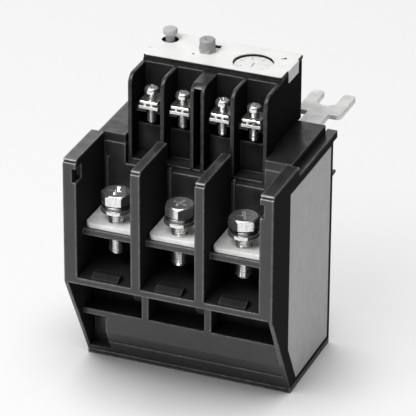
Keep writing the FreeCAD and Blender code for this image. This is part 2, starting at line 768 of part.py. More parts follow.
housing = Piece("control_housing")
housing.add("YZ", -half_block, half_block, [
    (block_front, apron_foot),
    (block_front, block_wall_top),
    (face_front, block_wall_top),
    (face_front, lid_underside),
    (block_rear, lid_underside),
    (block_rear, cover_top),
    (apron_setback, cover_top),
    (apron_setback, apron_foot),
])
housing.fillet(block_corner, (0, block_front, block_wall_top))
housing.cut("XY", block_floor, lid_underside + past, rect(-room_half, room_front, room_half, room_rear))
housing.cut("XY", block_floor, block_wall_top + past,
            *[band(x, w, block_front - past, aux_back) for x, w in zip(aux_places, aux_widths)])
housing.cut("XY", apron_room, block_floor + past,
            *[band(x, w, block_front - past, apron_back) for x, w in zip(aux_places, aux_widths)])
housing.cut("YZ", -aux_slot_half, aux_slot_half, [
    (block_front - past, apron_room),
    (apron_back, apron_room),
    (apron_back, block_wall_top - block_wall),
    (block_front - past, block_wall_top - 2 * block_corner),
])
housing.add("XY", aux_shelf_underside, aux_plate_height,
            *[band(x, w, aux_shelf_front, aux_back) for x, w in zip(aux_places, aux_widths)])
housing.cut("XY", aux_shelf_underside - past, aux_plate_height,
            *[Disc(x, aux_screw_setback, aux_screw_radius + running_gap) for x in aux_places])
housing.cut("XZ", aux_back - past, room_front + past,
            *[band(x, aux_tail + 2 * fit_gap, aux_plate_height, aux_plate_top + fit_gap) for x in aux_places])
housing.cut("XY", cover_top - past, block_floor + past, lever_opening)
housing.cut("XY", cover_top - past, block_floor + past,
            *[Disc(x, y, block_screw_radius) for x, y in block_screw_spots])
housing.add("XZ", boss_front, room_rear + past,
            Disc(lever_x, pivot_height, pin_boss_radius), Disc(rocker_x, pivot_height, pin_boss_radius))
housing.cut("XZ", boss_front - past, pin_rear,
            Disc(lever_x, pivot_height, pin_radius), Disc(rocker_x, pivot_height, pin_radius))
housing.add("XY", guide_underside, guide_top, rect(-room_half, ledge_front, ledge_edge, room_rear))
housing.add("XY", spring_seat - block_wall, spring_seat, rect(-room_half, ledge_front, ledge_edge, room_rear))
housing.cut("XY", guide_underside - past / 2, guide_top + past / 2,
            Disc(reset_x, reset_y, reset_neck_radius + shaft_clearance))
housing.cut("XY", spring_seat - block_wall - past / 2, spring_seat + past / 2,
            Disc(reset_x, reset_y, reset_stem_radius + running_gap))
housing.add("XY", block_floor - past / 2, dial_post_top, Disc(dial_x, dial_y, dial_post_radius))
housing.cut("XY", dial_stem_foot - past, dial_post_top + past,
            Disc(dial_x, dial_y, dial_stem_radius + shaft_clearance))
housing.add("XY", block_floor - past / 2, post_top, Disc(adjuster_x, adjuster_y, pin_boss_radius))
housing.cut("XY", post_top - adjuster_pin_depth, post_top + past, Disc(adjuster_x, adjuster_y, pin_radius))
housing.node()

block_screw = Piece("block_screw")
block_screw.turn(
    (0, -block_screw_length),
    (block_screw_radius, -block_screw_length),
    (block_screw_radius, 0),
    (2 * block_screw_radius, 0),
    (2 * block_screw_radius, block_screw_radius),
    (0, block_screw_radius),
)
group("block_screws", block_screw, [(x, y, block_floor) for x, y in block_screw_spots])

# Block lid: flat black cover of the mechanism room, kept in place by a rib inside each side wall.
rib_outside = room_half - fit_gap
rib_inside = rib_outside - lid_rib
rib_start = room_front + 2 * lid_rib
window = band(window_x, window_width, window_y - window_length / 2, window_y + window_length / 2)

lid = Piece("block_lid")
lid.add("XY", lid_underside, face_underside, rect(-half_block, face_front, half_block, face_rear))
lid.add("XY", lid_underside - lid_rib_drop, lid_underside + lid_thickness / 2,
        rect(rib_inside, rib_start, rib_outside, rib_start + lid_rib_length),
        rect(-rib_outside, rib_start, -rib_inside, rib_start + lid_rib_length))
lid.cut("XY", lid_underside - past, face_underside + past,
        Disc(reset_x, reset_y, reset_hole_radius),
        Disc(mode_x, mode_y, mode_shaft_radius + shaft_clearance),
        Disc(dial_x, dial_y, dial_radius + dial_ring_gap),
        window)
lid.node()

# Face plate: thin white sheet over the lid, bent down into a tab at each side, with holes for the controls.
half_face = half_block - face_inset
tab_outside = half_block + face_thickness
tab_rear = face_tab_start + face_tab_length

face = Piece("face_plate")
face.add("XY", face_underside, face_top, rect(-half_face, face_front, half_face, face_rear))
face.fillet(face_corner, *[
    (side * half_face, y, (face_underside + face_top) / 2)
    for side in (-1, 1)
    for y in (face_front, face_rear)
])
face.add("XY", face_underside, face_top,
         rect(half_face - past, face_tab_start, tab_outside, tab_rear),
         rect(-tab_outside, face_tab_start, past - half_face, tab_rear))
face.add("XY", face_top - face_tab_drop, face_underside + face_thickness / 2,
         rect(half_block, face_tab_start, tab_outside, tab_rear),
         rect(-tab_outside, face_tab_start, -half_block, tab_rear))
face.cut("XY", face_underside - past, face_top + past,
         Disc(reset_x, reset_y, reset_hole_radius),
         Disc(mode_x, mode_y, mode_shaft_radius + running_gap),
         Disc(dial_x, dial_y, dial_radius + dial_ring_gap),
         window)
face.node()

# Reset button: turned push rod whose collar stops under the guide, on a coil spring.
collar_top = guide_underside - fit_gap
collar_foot = spring_seat + reset_spring_length
button_top = face_top + reset_height
paddle_top = spring_seat - block_wall - paddle_drop
button_foot = paddle_top + paddle_lift + reset_stroke + running_gap
head_foot = button_top - reset_head_height

reset = Piece("reset_button")
reset.turn(
    (0, button_foot),
    (reset_stem_radius, button_foot),
    (reset_stem_radius, collar_foot),
    (reset_collar_radius, collar_foot),
    (reset_collar_radius, collar_top),
    (reset_neck_radius, collar_top),
    (reset_neck_radius, head_foot),
    (reset_head_radius, head_foot),
    (reset_head_radius, button_top - fit_gap * 4),
    (reset_head_radius - fit_gap * 4, button_top),
    (0, button_top),
)
reset.node(reset_x, reset_y)


def coil(radius, wire, turns, length):
    """A flat-wire spring standing on its lower end, wire ends included in the length."""
    rise = length.value - wire.value
    helix = Part.makeHelix(rise / turns, rise, radius.value)
    half = wire.value / 2
    helix.translate(Vector(0, 0, half))
    signs = ((-1, -1), (1, -1), (1, 1), (-1, 1))
    corners = [Vector(radius.value + half * i, 0, half + half * j) for i, j in signs]
    section = Part.makePolygon(corners + corners[:1])
    return Part.Wire(helix.Edges).makePipeShell([section], True, True)


reset_coil = coil(reset_spring_radius, spring_wire, 3, reset_spring_length)
shaped("reset_spring", reset_coil, reset_x, reset_y, spring_seat)


def hexagon(across_flats):
    """Corners of a hexagon with flats to the front and rear."""
    corner = across_flats / math.sqrt(3)
    angles = [math.radians(60 * i) for i in range(6)]
    return [(corner * round(math.cos(t), 6), corner * round(math.sin(t), 6)) for t in angles]


# Reset mode knob: round cap on a hexagon foot, held through the lid by a collar, with a finger below.
mode_top = face_top + mode_height
mode_foot = face_top + fit_gap
mode_collar_top = lid_underside - fit_gap

mode = Piece("mode_knob")
mode.turn(
    (0, mode_collar_top - mode_collar_height),
    (mode_collar_radius, mode_collar_top - mode_collar_height),
    (mode_collar_radius, mode_collar_top),
    (mode_shaft_radius, mode_collar_top),
    (mode_shaft_radius, mode_foot + mode_hex_height),
    (mode_radius, mode_foot + mode_hex_height),
    (mode_radius, mode_top - fit_gap * 4),
    (mode_radius - fit_gap * 4, mode_top),
    (mode_dimple, mode_top),
    (0, mode_top - mode_dimple / 2),
)
mode.add("XY", mode_foot, mode_foot + mode_hex_height, hexagon(2 * mode_radius))
mode.add("XY", mode_collar_top - 2 * mode_collar_height, mode_collar_top - mode_collar_height,
         rect(0, -mode_shaft_radius / 2, mode_collar_radius, mode_shaft_radius / 2))
mode.node(mode_x, mode_y)

# Current setting dial: slotted disc sunk in the lid, with a flange below and a stem in the housing post.
dial_top = face_top - dial_sink

dial = Piece("setting_dial")
dial.turn(
    (0, dial_stem_foot),
    (dial_stem_radius, dial_stem_foot),
    (dial_stem_radius, cam_top),
    (dial_hub_radius, cam_top),
    (dial_hub_radius, flange_foot),
    (dial_radius + dial_flange, flange_foot),
    (dial_radius + dial_flange, flange_top),
    (dial_radius, flange_top),
    (dial_radius, dial_top),
    (0, dial_top),
)
dial.cut("XY", dial_top - dial_slot_depth, dial_top + past,
         band(0, dial_slot_width, -dial_slot / 2, dial_slot / 2))
dial.node(dial_x, dial_y)

# Setting cam: spiral whose radius grows evenly with the turn of the dial, pressed on the dial stem.
cam_sweep = math.radians(300)
cam_growth = cam_rise.value / math.radians(270)
cam_arcs = 6


def cam_point(arc):
    turn = cam_sweep * (arc / cam_arcs - 0.5)
    radius = cam_radius.value + cam_growth * turn
    return Vector(-radius * math.sin(turn), radius * math.cos(turn), 0)


spiral = [Part.Arc(cam_point(i), cam_point(i + 0.5), cam_point(i + 1)).toShape() for i in range(cam_arcs)]
cam_outline = Part.Wire(spiral + [Part.makeLine(cam_point(cam_arcs), cam_point(0))])
cam_disc = Part.Face(cam_outline).extrude(Vector(0, 0, cam_thickness.value))
cam_shape = cam_disc.cut(Part.makeCylinder(dial_stem_radius.value, cam_thickness.value))
shaped("setting_cam", cam_shape, dial_x, dial_y, cam_height)

# Adjusting arm: flat bar that follows the cam and swings on an upright pin.
arm_foot = cam_height + 2 * fit_gap
arm_top = cam_top - 2 * fit_gap
arm_front = dial_y + cam_radius + running_gap - adjuster_y

arm = Piece("adjusting_arm")
arm.add("XY", arm_foot, arm_top, rect(-adjuster_reach, arm_front, 0, arm_front + adjuster_bar))
arm.add("XY", arm_foot, arm_top, Disc(0, 0, hub_radius))
arm.cut("XY", arm_foot - past, arm_top + past, Disc(0, 0, pin_bore))
arm.node(adjuster_x, adjuster_y)


def pin(label, plane, start, end):
    piece = Piece(label)
    piece.add(plane, start, end, Disc(0, 0, pin_radius))
    return piece


pin("adjuster_pin", "XY", post_top - adjuster_pin_depth, arm_top + running_gap).node(adjuster_x, adjuster_y)
pin("lever_pin", "XZ", pin_front, pin_rear).node(lever_x, 0, pivot_height)
pin("rocker_pin", "XZ", pin_front, pin_rear).node(rocker_x, 0, pivot_height)

# Trip lever: long arm down to the push slider, short arm over the contact rocker.
lever_foot = slider_height - pivot_height - running_gap
rocker_end = no_x + bridge_width / 2 - rocker_x
press_left = no_x - bridge_width / 2 - lever_x

lever = Piece("trip_lever")
lever.add("XZ", layer_front, layer_rear, [
    (half_lever, 0),
    (half_lever, lever_foot),
    (-half_lever, lever_foot),
    (-half_lever, -hub_radius),
    (press_left + bridge_width, rocker_top + press_gap),
    (press_left, rocker_top + press_gap),
    (press_left, rocker_top + press_gap + lever_thickness),
    (-half_lever, hub_radius),
])
lever.add("XZ", layer_front, layer_rear, Disc(0, 0, hub_radius))
lever.cut("XZ", layer_front - past, layer_rear + past, Disc(0, 0, pin_bore))
lever.node(lever_x, 0, pivot_height)

# Contact rocker: bar on a pin, with a finger over each contact pair, a reset paddle and the trip flag.
nc_middle = nc_x - rocker_x
no_middle = no_x - rocker_x
nc_foot = aux_plate_top + fit_gap + bridge_thickness - pivot_height
no_foot = nc_foot + contact_gap
half_bridge = bridge_width / 2
paddle_left = reset_x - reset_neck_radius - rocker_x
paddle_right = reset_x + reset_neck_radius - rocker_x
paddle_level = paddle_top - pivot_height
finger_front = room_front + strip_gap - running_gap
flag_half = window_width / 2 - running_gap

rocker = Piece("rocker")
rocker.add("XZ", layer_front, layer_rear, [
    (paddle_left, paddle_level - paddle_thickness),
    (paddle_right, paddle_level - paddle_thickness),
    (nc_middle - half_bridge, nc_foot),
    (-half_bridge, nc_foot),
    (half_bridge, no_foot),
    (rocker_end, no_foot),
    (rocker_end, rocker_top),
    (-half_bridge, rocker_top),
    (nc_middle + half_bridge, nc_foot + paddle_thickness),
    (nc_middle - half_bridge, nc_foot + paddle_thickness),
    (paddle_right, paddle_level),
    (paddle_left, paddle_level),
])
rocker.add("XZ", layer_front, layer_rear, Disc(0, 0, hub_radius))
rocker.add("XZ", finger_front, layer_front + past,
           band(nc_middle, bridge_width, nc_foot, nc_foot + bridge_thickness),
           band(no_middle, bridge_width, no_foot, no_foot + bridge_thickness))
rocker.add("XZ", layer_rear - past, reset_y + reset_neck_radius,
           rect(paddle_left, paddle_level - paddle_thickness, paddle_right, paddle_level))
rocker.add("XZ", layer_rear - past, window_y + flag_half,
           band(window_x - rocker_x, 2 * flag_half, no_foot, no_foot + paddle_thickness))
rocker.add("XY", no_foot + paddle_thickness / 2, guide_top - pivot_height,
           band(window_x - rocker_x, 2 * flag_half, window_y - flag_half, window_y + flag_half))
rocker.cut("XZ", layer_front - past, layer_rear + past, Disc(0, 0, pin_bore))
rocker.node(rocker_x, 0, pivot_height)


def bridge(label, x, foot):
    """Moving contact strip under a finger of the rocker."""
    piece = Piece(label)
    piece.add("XZ", finger_front, layer_front - fit_gap, band(0, bridge_width, foot - bridge_thickness, foot))
    piece.node(x, 0, pivot_height)


bridge("moving_contact_nc", nc_x, nc_foot)
bridge("moving_contact_no", no_x, no_foot)

# Load terminals: screw plate with a threaded collar, and a tail through the cell's back wall to the heater.
load_leg_front = load_leg_setback - load_leg_thickness
for number, x in enumerate(poles, 1):
    terminal = Piece(f"load_terminal_{number}")
    terminal.add("XY", shelf_top, load_plate_top,
                 band(0, load_plate_width, load_plate_front, cell_depth - load_plate_inset))
    terminal.add("XY", shelf_top, load_plate_top,
                 band(0, load_tail_width, load_screw_setback, load_leg_setback))
    terminal.add("XY", load_plate_top - load_leg_drop, load_plate_top,
                 band(0, load_tail_width, load_leg_front, load_leg_setback))
    terminal.add("XY", shelf_top - shelf_thickness, load_plate_top,
                 Disc(0, load_screw_setback, load_collar_radius))
    terminal.cut("XY", shelf_top - shelf_thickness - past, load_plate_top + past,
                 Disc(0, load_screw_setback, load_screw_radius))
    terminal.node(x)

load_spots = [(x, load_screw_setback) for x in poles]
screw = Piece("terminal_screw")
screw.add("XY", 0, hex_height, hexagon(hex_across_flats))
screw.turn(
    (0, -load_screw_length),
    (load_screw_radius, -load_screw_length),
    (load_screw_radius, hex_height / 2),
    (0, hex_height / 2),
)
group("terminal_screws", screw, [(x, y, hex_seat) for x, y in load_spots])

spring_washer = Piece("spring_washer")
spring_washer.add("XY", 0, spring_washer_thickness, Disc(0, 0, spring_washer_radius))
spring_washer.cut("XY", -past, spring_washer_thickness + past, Disc(0, 0, load_screw_radius + fit_gap))
spring_washer.cut("XY", -past, spring_washer_thickness + past,
                  rect(0, -spring_washer_split / 2, spring_washer_radius + past, spring_washer_split / 2))
group("terminal_spring_washers", spring_washer, [(x, y, spring_washer_seat) for x, y in load_spots])

flat_washer = Piece("flat_washer")
flat_washer.add("XY", 0, flat_washer_thickness, Disc(0, 0, flat_washer_radius))
flat_washer.cut("XY", -past, flat_washer_thickness + past, Disc(0, 0, load_screw_radius + 2 * fit_gap))
group("terminal_washers", flat_washer, [(x, y, washer_seat) for x, y in load_spots])

# Auxiliary terminals: clamp plate in each small cell, with a tail into the room to its contact place.
contact_ends = [(nc_x, 0), (nc_x, 1), (no_x, 0), (no_x, 1)]
for number, (x, (end, row)) in enumerate(zip(aux_places, contact_ends), 1):
    strip_front = strip_fronts[row]
    strip_rear = strip_front + aux_strip
    reach = end - x
    side = 1 if reach.value > 0 else -1
    far = reach + side * half_bridge
    near = -side * aux_tail / 2
    left, right = (near, far) if side > 0 else (far, near)
    terminal = Piece(f"aux_terminal_{number}")
    terminal.add("XY", aux_plate_height, aux_plate_top,
                 band(0, aux_plate_width, aux_plate_front, aux_back - past))
    terminal.add("XY", aux_plate_height, aux_plate_top, band(0, aux_tail, aux_screw_setback, strip_rear))
    terminal.add("XY", aux_plate_height, aux_plate_top, rect(left, strip_front, right, strip_rear))
    terminal.cut("XY", aux_plate_height - past, aux_plate_top + past,
                 Disc(0, aux_screw_setback, aux_screw_radius))
    terminal.node(x)

aux_head_seat = aux_washer_top + aux_head_lift
aux_screw = Piece("aux_screw")
aux_screw.turn(
    (0, -aux_screw_length),
    (aux_screw_radius, -aux_screw_length),
    (aux_screw_radius, 0),
    (aux_head_radius, 0),
    (aux_head_radius, aux_head_height),
    (0, aux_head_height),
)
group("aux_screws", aux_screw, [(x, aux_screw_setback, aux_head_seat) for x in aux_places])

aux_washer = Piece("aux_washer")
half_plate = aux_plate_width / 2
aux_washer.add("XY", 0, aux_washer_thickness, rect(-half_plate, -half_plate, half_plate, half_plate))
aux_washer.cut("XY", -past, aux_washer_thickness + past, Disc(0, 0, aux_screw_radius))
group("aux_washers", aux_washer, [(x, aux_screw_setback, aux_washer_seat) for x in aux_places])

# Line tongues: forked plates that slip under the screws of the switch above, with a leg down to each heater.
fork_shoulder = fork_tip - fork_length
slot_foot = fork_tip - fork_slot_depth
half_fork = fork_width / 2
half_slot = fork_slot / 2
tongue_middle = case_shoulder + tongue_thickness / 2
for number, x in enumerate(tongue_places, 1):
    tongue = Piece(f"line_tongue_{number}")
    tongue.add("XY", case_shoulder, tongue_top, [
        (-half_stem, heater_rear),
        (half_stem, heater_rear),
        (half_stem, fork_shoulder),
        (half_fork, fork_shoulder),
        (half_fork, fork_tip),
        (half_slot, fork_tip),
        (half_slot, slot_foot),
        (-half_slot, slot_foot),
        (-half_slot, fork_tip),
        (-half_fork, fork_tip),
        (-half_fork, fork_shoulder),
        (-half_stem, fork_shoulder),
    ])
    tongue.fillet(half_slot - fit_gap, *[(side * half_slot, slot_foot, tongue_middle) for side in (-1, 1)])
    tongue.fillet(fork_corner, *[
        (side * a, b, tongue_middle) for side in (-1, 1)
        for a, b in ((half_fork, fork_shoulder), (half_fork, fork_tip), (half_slot, fork_tip))
    ])
    tongue.add("XY", tongue_top - tongue_leg_drop - tongue_thickness, tongue_top,
               band(0, tongue_stem, heater_rear, heater_rear + tongue_thickness))
    tongue.node(x)

# Heaters and bimetals: hairpin strip from load terminal to tongue, with the bimetal standing on its bend.
heater_top = tongue_top - tongue_leg_drop / 2
heater_bar = heater_foot + heater_strip
half_heater = heater_width / 2
half_bimetal = bimetal_thickness / 2
bimetal_neck = slider_height - 2 * slider_gap
bimetal_top = slider_roof + 2 * slider_gap
for number, x in enumerate(poles, 1):
    heater = Piece(f"heater_{number}")
    heater.add("YZ", -half_heater, half_heater, [
        (load_leg_setback, heater_foot),
        (heater_rear, heater_foot),
        (heater_rear, heater_top),
        (heater_rear - heater_strip, heater_top),
        (heater_rear - heater_strip, heater_bar),
        (load_leg_setback + heater_strip, heater_bar),
        (load_leg_setback + heater_strip, shelf_top),
        (load_leg_setback, shelf_top),
    ])
    heater.node(x)
    bimetal = Piece(f"bimetal_{number}")
    bimetal.add("XZ", bimetal_setback - bimetal_width / 2, bimetal_setback + bimetal_width / 2, [
        (-half_bimetal, heater_bar),
        (bimetal_foot, heater_bar),
        (bimetal_foot, heater_bar + bimetal_thickness),
        (half_bimetal, heater_bar + bimetal_thickness),
        (half_bimetal, bimetal_neck),
        (-half_bimetal, bimetal_neck),
    ])
    bimetal.add("XZ", bimetal_setback - bimetal_tip_width / 2, bimetal_setback + bimetal_tip_width / 2,
                rect(-half_bimetal, bimetal_neck - past, half_bimetal, bimetal_top))
    bimetal.node(x)

# Trip sliders: two slotted strips across the poles, moved by the bimetal tips; the lower one works the lever.
slot_left = half_bimetal + trip_travel + running_gap
slot_right = half_bimetal + running_gap
slot_half = bimetal_tip_width / 2 + running_gap


def slider(label, height):
    piece = Piece(label)
    piece.add("XY", height, height + slider_thickness,
              rect(-half_slider, slider_front, half_slider, slider_rear))
    piece.cut("XY", height - past, height + slider_thickness + past, *[
        rect(x - slot_left, bimetal_setback - slot_half, x + slot_right, bimetal_setback + slot_half)
        for x in poles
    ])
    return piece


push = slider("push_slider", slider_height)
push.add("XY", slider_height, slider_height + slider_thickness,
         rect(tab_right - slider_tab, slider_rear - past, tab_right, layer_rear - running_gap))
push.node()
slider("pull_slider", pull_slider_height).node()

# Side plate let into the right wall, and the small marker wedges on the cell floors.
side_plate = Piece("side_plate")
side_plate.add("YZ", half_case - side_plate_thickness, half_case, side_plate_outline)
side_plate.node()

marker = Piece("marker_tag")
marker.add("YZ", -marker_width / 2, marker_width / 2, [
    (0, 0),
    (0, marker_lip),
    (marker_depth / 2, marker_height),
    (marker_depth, marker_height),
    (marker_depth, 0),
])
group("marker_tags", marker, [(x, marker_setback, floor_top) for x in poles])

doc.recompute()
os.makedirs("parts", exist_ok=True)
for thing in doc.Objects:
    if {"Invalid", "Error"} & set(thing.State):
        raise RuntimeError(f"{thing.Label} did not rebuild: {thing.State}")
for part in nodes:
    if part.Shape.isNull() or not part.Shape.isValid():
        raise RuntimeError(f"{part.Label} has no sound shape")
for part in nodes:
    part.Shape.exportStep(f"parts/{part.Label}.step")
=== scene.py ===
import math

import bmesh
import bpy
from mathutils import Matrix, Vector


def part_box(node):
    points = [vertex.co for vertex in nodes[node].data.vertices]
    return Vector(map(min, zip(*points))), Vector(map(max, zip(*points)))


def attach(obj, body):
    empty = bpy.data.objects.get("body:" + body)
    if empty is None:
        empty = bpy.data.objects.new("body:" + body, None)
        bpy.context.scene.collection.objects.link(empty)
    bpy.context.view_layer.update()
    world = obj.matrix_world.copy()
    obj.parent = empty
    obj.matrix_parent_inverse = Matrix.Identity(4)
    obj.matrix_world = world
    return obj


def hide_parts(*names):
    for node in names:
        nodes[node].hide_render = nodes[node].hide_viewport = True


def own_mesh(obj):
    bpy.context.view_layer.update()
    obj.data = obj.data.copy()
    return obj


# Three-pole thermal overload relay, lying on its back with the setting face up.
# The sections follow its assembly: case, current path, trip parts, control block, face, then the studio.
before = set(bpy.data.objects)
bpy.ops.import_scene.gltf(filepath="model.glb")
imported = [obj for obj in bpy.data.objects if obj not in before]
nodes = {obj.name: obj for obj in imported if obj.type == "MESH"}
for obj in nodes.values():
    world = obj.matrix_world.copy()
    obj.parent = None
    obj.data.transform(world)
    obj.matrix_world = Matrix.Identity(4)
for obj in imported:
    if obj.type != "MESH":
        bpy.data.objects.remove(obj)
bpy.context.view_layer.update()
mm = 0.001

# Main case, base cover and top cover.
# Compression-moulded black phenolic: mottled and slightly waxy on the fronts and tops, matt and darkened by a
# painted shade on the flanks and towards the foot, with a painted highlight on the edges. The base is screwed
# up from below.
case_black = (0.019, 0.019, 0.0195)
cover_black = (0.017, 0.017, 0.0175)
# Pale edge colours below are a painted highlight on the outer edges, broken up by noise.
case_edge_highlight = (0.18, 0.18, 0.177)
cover_edge_highlight = (0.08, 0.08, 0.079)
base_edge_highlight = (0.2, 0.2, 0.198)
case_edge = 0.25 * mm
cloud_size = 9 * mm
polish_size = 4 * mm
highlight_grain_size = 2.5 * mm
skin_size = 0.35 * mm
skin_relief = 0.02 * mm
# Painted shade: the flanks and the foot are darkened by this factor, the foot by the share below.
flank_painted_shade = 0.55
edge_polish = 0.08
foot_matt_and_shade = 0.5
foot_matt_and_shade_heights = (3 * mm, 13 * mm)
# The painted edge highlight fades to this share towards the foot.
foot_highlight = 0.15
foot_highlight_heights = (5 * mm, 22 * mm)
same_spot = 0.002 * mm
flat_angle = math.radians(0.5)
edge_angle = math.radians(40)


def new_finish(name):
    """An empty material with its node tree and its surface shader."""
    finish = bpy.data.materials.new(name)
    finish.use_nodes = True
    return finish, finish.node_tree, finish.node_tree.nodes["Principled BSDF"]


def grain(tree, size, stretch=(1, 1, 1), detail=4.0):
    """Noise with features of about the given size, drawn out along an axis by a stretch above 1."""
    spot = tree.nodes.new("ShaderNodeTexCoord")
    scaled = tree.nodes.new("ShaderNodeMapping")
    scaled.inputs["Scale"].default_value = [1 / (size * s) for s in stretch]
    noise = tree.nodes.new("ShaderNodeTexNoise")
    noise.inputs["Scale"].default_value = 1.0
    noise.inputs["Detail"].default_value = detail
    tree.links.new(spot.outputs["Object"], scaled.inputs["Vector"])
    tree.links.new(scaled.outputs["Vector"], noise.inputs["Vector"])
    return noise.outputs["Fac"]


def between(tree, value, low, high, start=0.35, end=0.65):
    """A value carried from the span start..end to the span low..high."""
    span = tree.nodes.new("ShaderNodeMapRange")
    span.inputs["From Min"].default_value = start
    span.inputs["From Max"].default_value = end
    span.inputs["To Min"].default_value = low
    span.inputs["To Max"].default_value = high
    tree.links.new(value, span.inputs["Value"])
    return span.outputs["Result"]


def blended(tree, share, first, second):
    """Two colours, or a colour output and a colour, mixed by a share."""
    mix = tree.nodes.new("ShaderNodeMix")
    mix.data_type = "RGBA"
    tree.links.new(share, mix.inputs["Factor"])
    for socket, colour in ((mix.inputs["A"], first), (mix.inputs["B"], second)):
        if isinstance(colour, tuple):
            socket.default_value = (*colour, 1.0)
        else:
            tree.links.new(colour, socket)
    return mix.outputs["Result"]


def edges(tree, reach):
    """A share that is 1 on outer edges, where the solid below the surface is thin, and 0 on the flats."""
    depth = tree.nodes.new("ShaderNodeAmbientOcclusion")
    depth.inside = True
    depth.only_local = True
    depth.samples = 8
    depth.inputs["Distance"].default_value = reach
    return between(tree, depth.outputs["AO"], 1.0, 0.0, 0.62, 0.9)


def flanks(tree):
    """A share that is 1 on faces turned to the left or right."""
    spot = tree.nodes.new("ShaderNodeTexCoord")
    parts = tree.nodes.new("ShaderNodeSeparateXYZ")
    tree.links.new(spot.outputs["Normal"], parts.inputs["Vector"])
    size = tree.nodes.new("ShaderNodeMath")
    size.operation = "ABSOLUTE"
    tree.links.new(parts.outputs["X"], size.inputs[0])
    return between(tree, size.outputs["Value"], 0.0, 1.0, 0.75, 0.95)


def dimple(tree, shader, height, strength, depth):
    """Surface relief from a height value."""
    bump = tree.nodes.new("ShaderNodeBump")
    bump.inputs["Strength"].default_value = strength
    bump.inputs["Distance"].default_value = depth
    tree.links.new(height, bump.inputs["Height"])
    tree.links.new(bump.outputs["Normal"], shader.inputs["Normal"])


def scaled_colour(colour, factor):
    """A colour made lighter or darker by a factor."""
    return tuple(min(1.0, c * factor) for c in colour)


def mixed(tree, share, first, second):
    """Two values, either of them an output or a number, mixed by a share."""
    mix = tree.nodes.new("ShaderNodeMix")
    tree.links.new(share, mix.inputs["Factor"])
    for socket, value in ((mix.inputs["A"], first), (mix.inputs["B"], second)):
        if isinstance(value, float):
            socket.default_value = value
        else:
            tree.links.new(value, socket)
    return mix.outputs["Result"]


def above(tree, low, high, start, end):
    """A value carried from low to high between two heights over the bench."""
    spot = tree.nodes.new("ShaderNodeTexCoord")
    parts = tree.nodes.new("ShaderNodeSeparateXYZ")
    tree.links.new(spot.outputs["Object"], parts.inputs["Vector"])
    return between(tree, parts.outputs["Z"], low, high, start, end)


def paired(tree, operation, first, second):
    """Two values put together by a product or a comparison."""
    pair = tree.nodes.new("ShaderNodeMath")
    pair.operation = operation
    tree.links.new(first, pair.inputs[0])
    tree.links.new(second, pair.inputs[1])
    return pair.outputs["Value"]


def moulded(name, colour, dull, polish, edge_colour, edge=1.0 * mm, cloudy=0.14, gloss=0.5, flank=None):
    """Moulded plastic: cloudy colour, patches of polish between two roughnesses, and an edge colour, mostly a
    painted highlight.

    A roughness for the flanks makes them, and in part the foot, duller, and a painted shade makes them
    darker.
    """
    finish, tree, shader = new_finish(name)
    cloud = between(tree, grain(tree, cloud_size), 0.0, 1.0)
    body = blended(tree, cloud, scaled_colour(colour, 1 - cloudy), scaled_colour(colour, 1 + cloudy))
    shine = between(tree, grain(tree, polish_size), polish, dull)
    shader.inputs["Specular IOR Level"].default_value = gloss
    # Painted highlight: the share of the pale edge colour on outer edges, broken up by noise.
    edge_highlight_share = paired(tree, "MULTIPLY", edges(tree, edge), between(tree, grain(tree, highlight_grain_size), 0.35, 1.0))
    if flank:
        # The painted edge highlight fades towards the foot.
        edge_highlight_share = paired(tree, "MULTIPLY", edge_highlight_share, above(tree, foot_highlight, 1.0, *foot_highlight_heights))
        # Painted shade on the flanks and the foot, which are also made duller.
        matt_and_shade = paired(tree, "MAXIMUM", flanks(tree), above(tree, foot_matt_and_shade, 0.0, *foot_matt_and_shade_heights))
        body = blended(tree, matt_and_shade, body, scaled_colour(colour, flank_painted_shade))
        shine = mixed(tree, matt_and_shade, shine, flank)
        tree.links.new(between(tree, matt_and_shade, gloss, gloss / 4, 0.0, 1.0), shader.inputs["Specular IOR Level"])
    tree.links.new(blended(tree, edge_highlight_share, body, edge_colour), shader.inputs["Base Color"])
    shine = mixed(tree, edge_highlight_share, shine, polish - edge_polish)
    tree.links.new(shine, shader.inputs["Roughness"])
    dimple(tree, shader, grain(tree, skin_size, detail=2.0), 0.25, skin_relief)
    return finish


def coat(node, finish):
    """Give a piece its finish."""
    piece = nodes[node]
    piece.data.materials.clear()
    piece.data.materials.append(finish)
    return piece


def break_edges(piece, width):
    """Break the moulded or cut edges of a piece with a small round."""
    joined = piece.modifiers.new("joined", "WELD")
    joined.merge_threshold = same_spot
    flat = piece.modifiers.new("flat", "DECIMATE")
    flat.decimate_type = "DISSOLVE"
    flat.angle_limit = flat_angle
    edge = piece.modifiers.new("edge", "BEVEL")
    edge.width = width
    edge.segments = 2
    edge.limit_method = "ANGLE"
    edge.angle_limit = edge_angle
    edge.use_clamp_overlap = False
    edge.harden_normals = True


def soften(node, finish, width):
    """Give a piece its finish and its broken edges."""
    break_edges(coat(node, finish), width)


# Painted highlight on the edges of all three; painted shade on the flanks and foot of the case and the top
# cover.
case_skin = moulded("case_phenolic", case_black, 0.42, 0.3, case_edge_highlight, gloss=0.8, flank=1.0)
cover_skin = moulded("cover_phenolic", cover_black, 0.44, 0.32, cover_edge_highlight, gloss=0.6, flank=1.0)
base_skin = moulded("base_phenolic", cover_black, 0.55, 0.42, base_edge_highlight, gloss=0.35)
soften("main_case", case_skin, case_edge)
soften("base_cover", base_skin, case_edge)
soften("top_cover", cover_skin, case_edge)

# Heaters and bimetals, hidden in the chambers.
# Each heater is a bent resistance strip with the dull tint of an annealed alloy; each bimetal is rolled
# from two alloys and welded on the heater's bend, so it is greyer and carries a faint heat stain.
rolling_line = 0.12 * mm
rolling_relief = 0.01 * mm
handling_size = 5 * mm
sheen_size = 2 * mm
strip_edge = 0.1 * mm


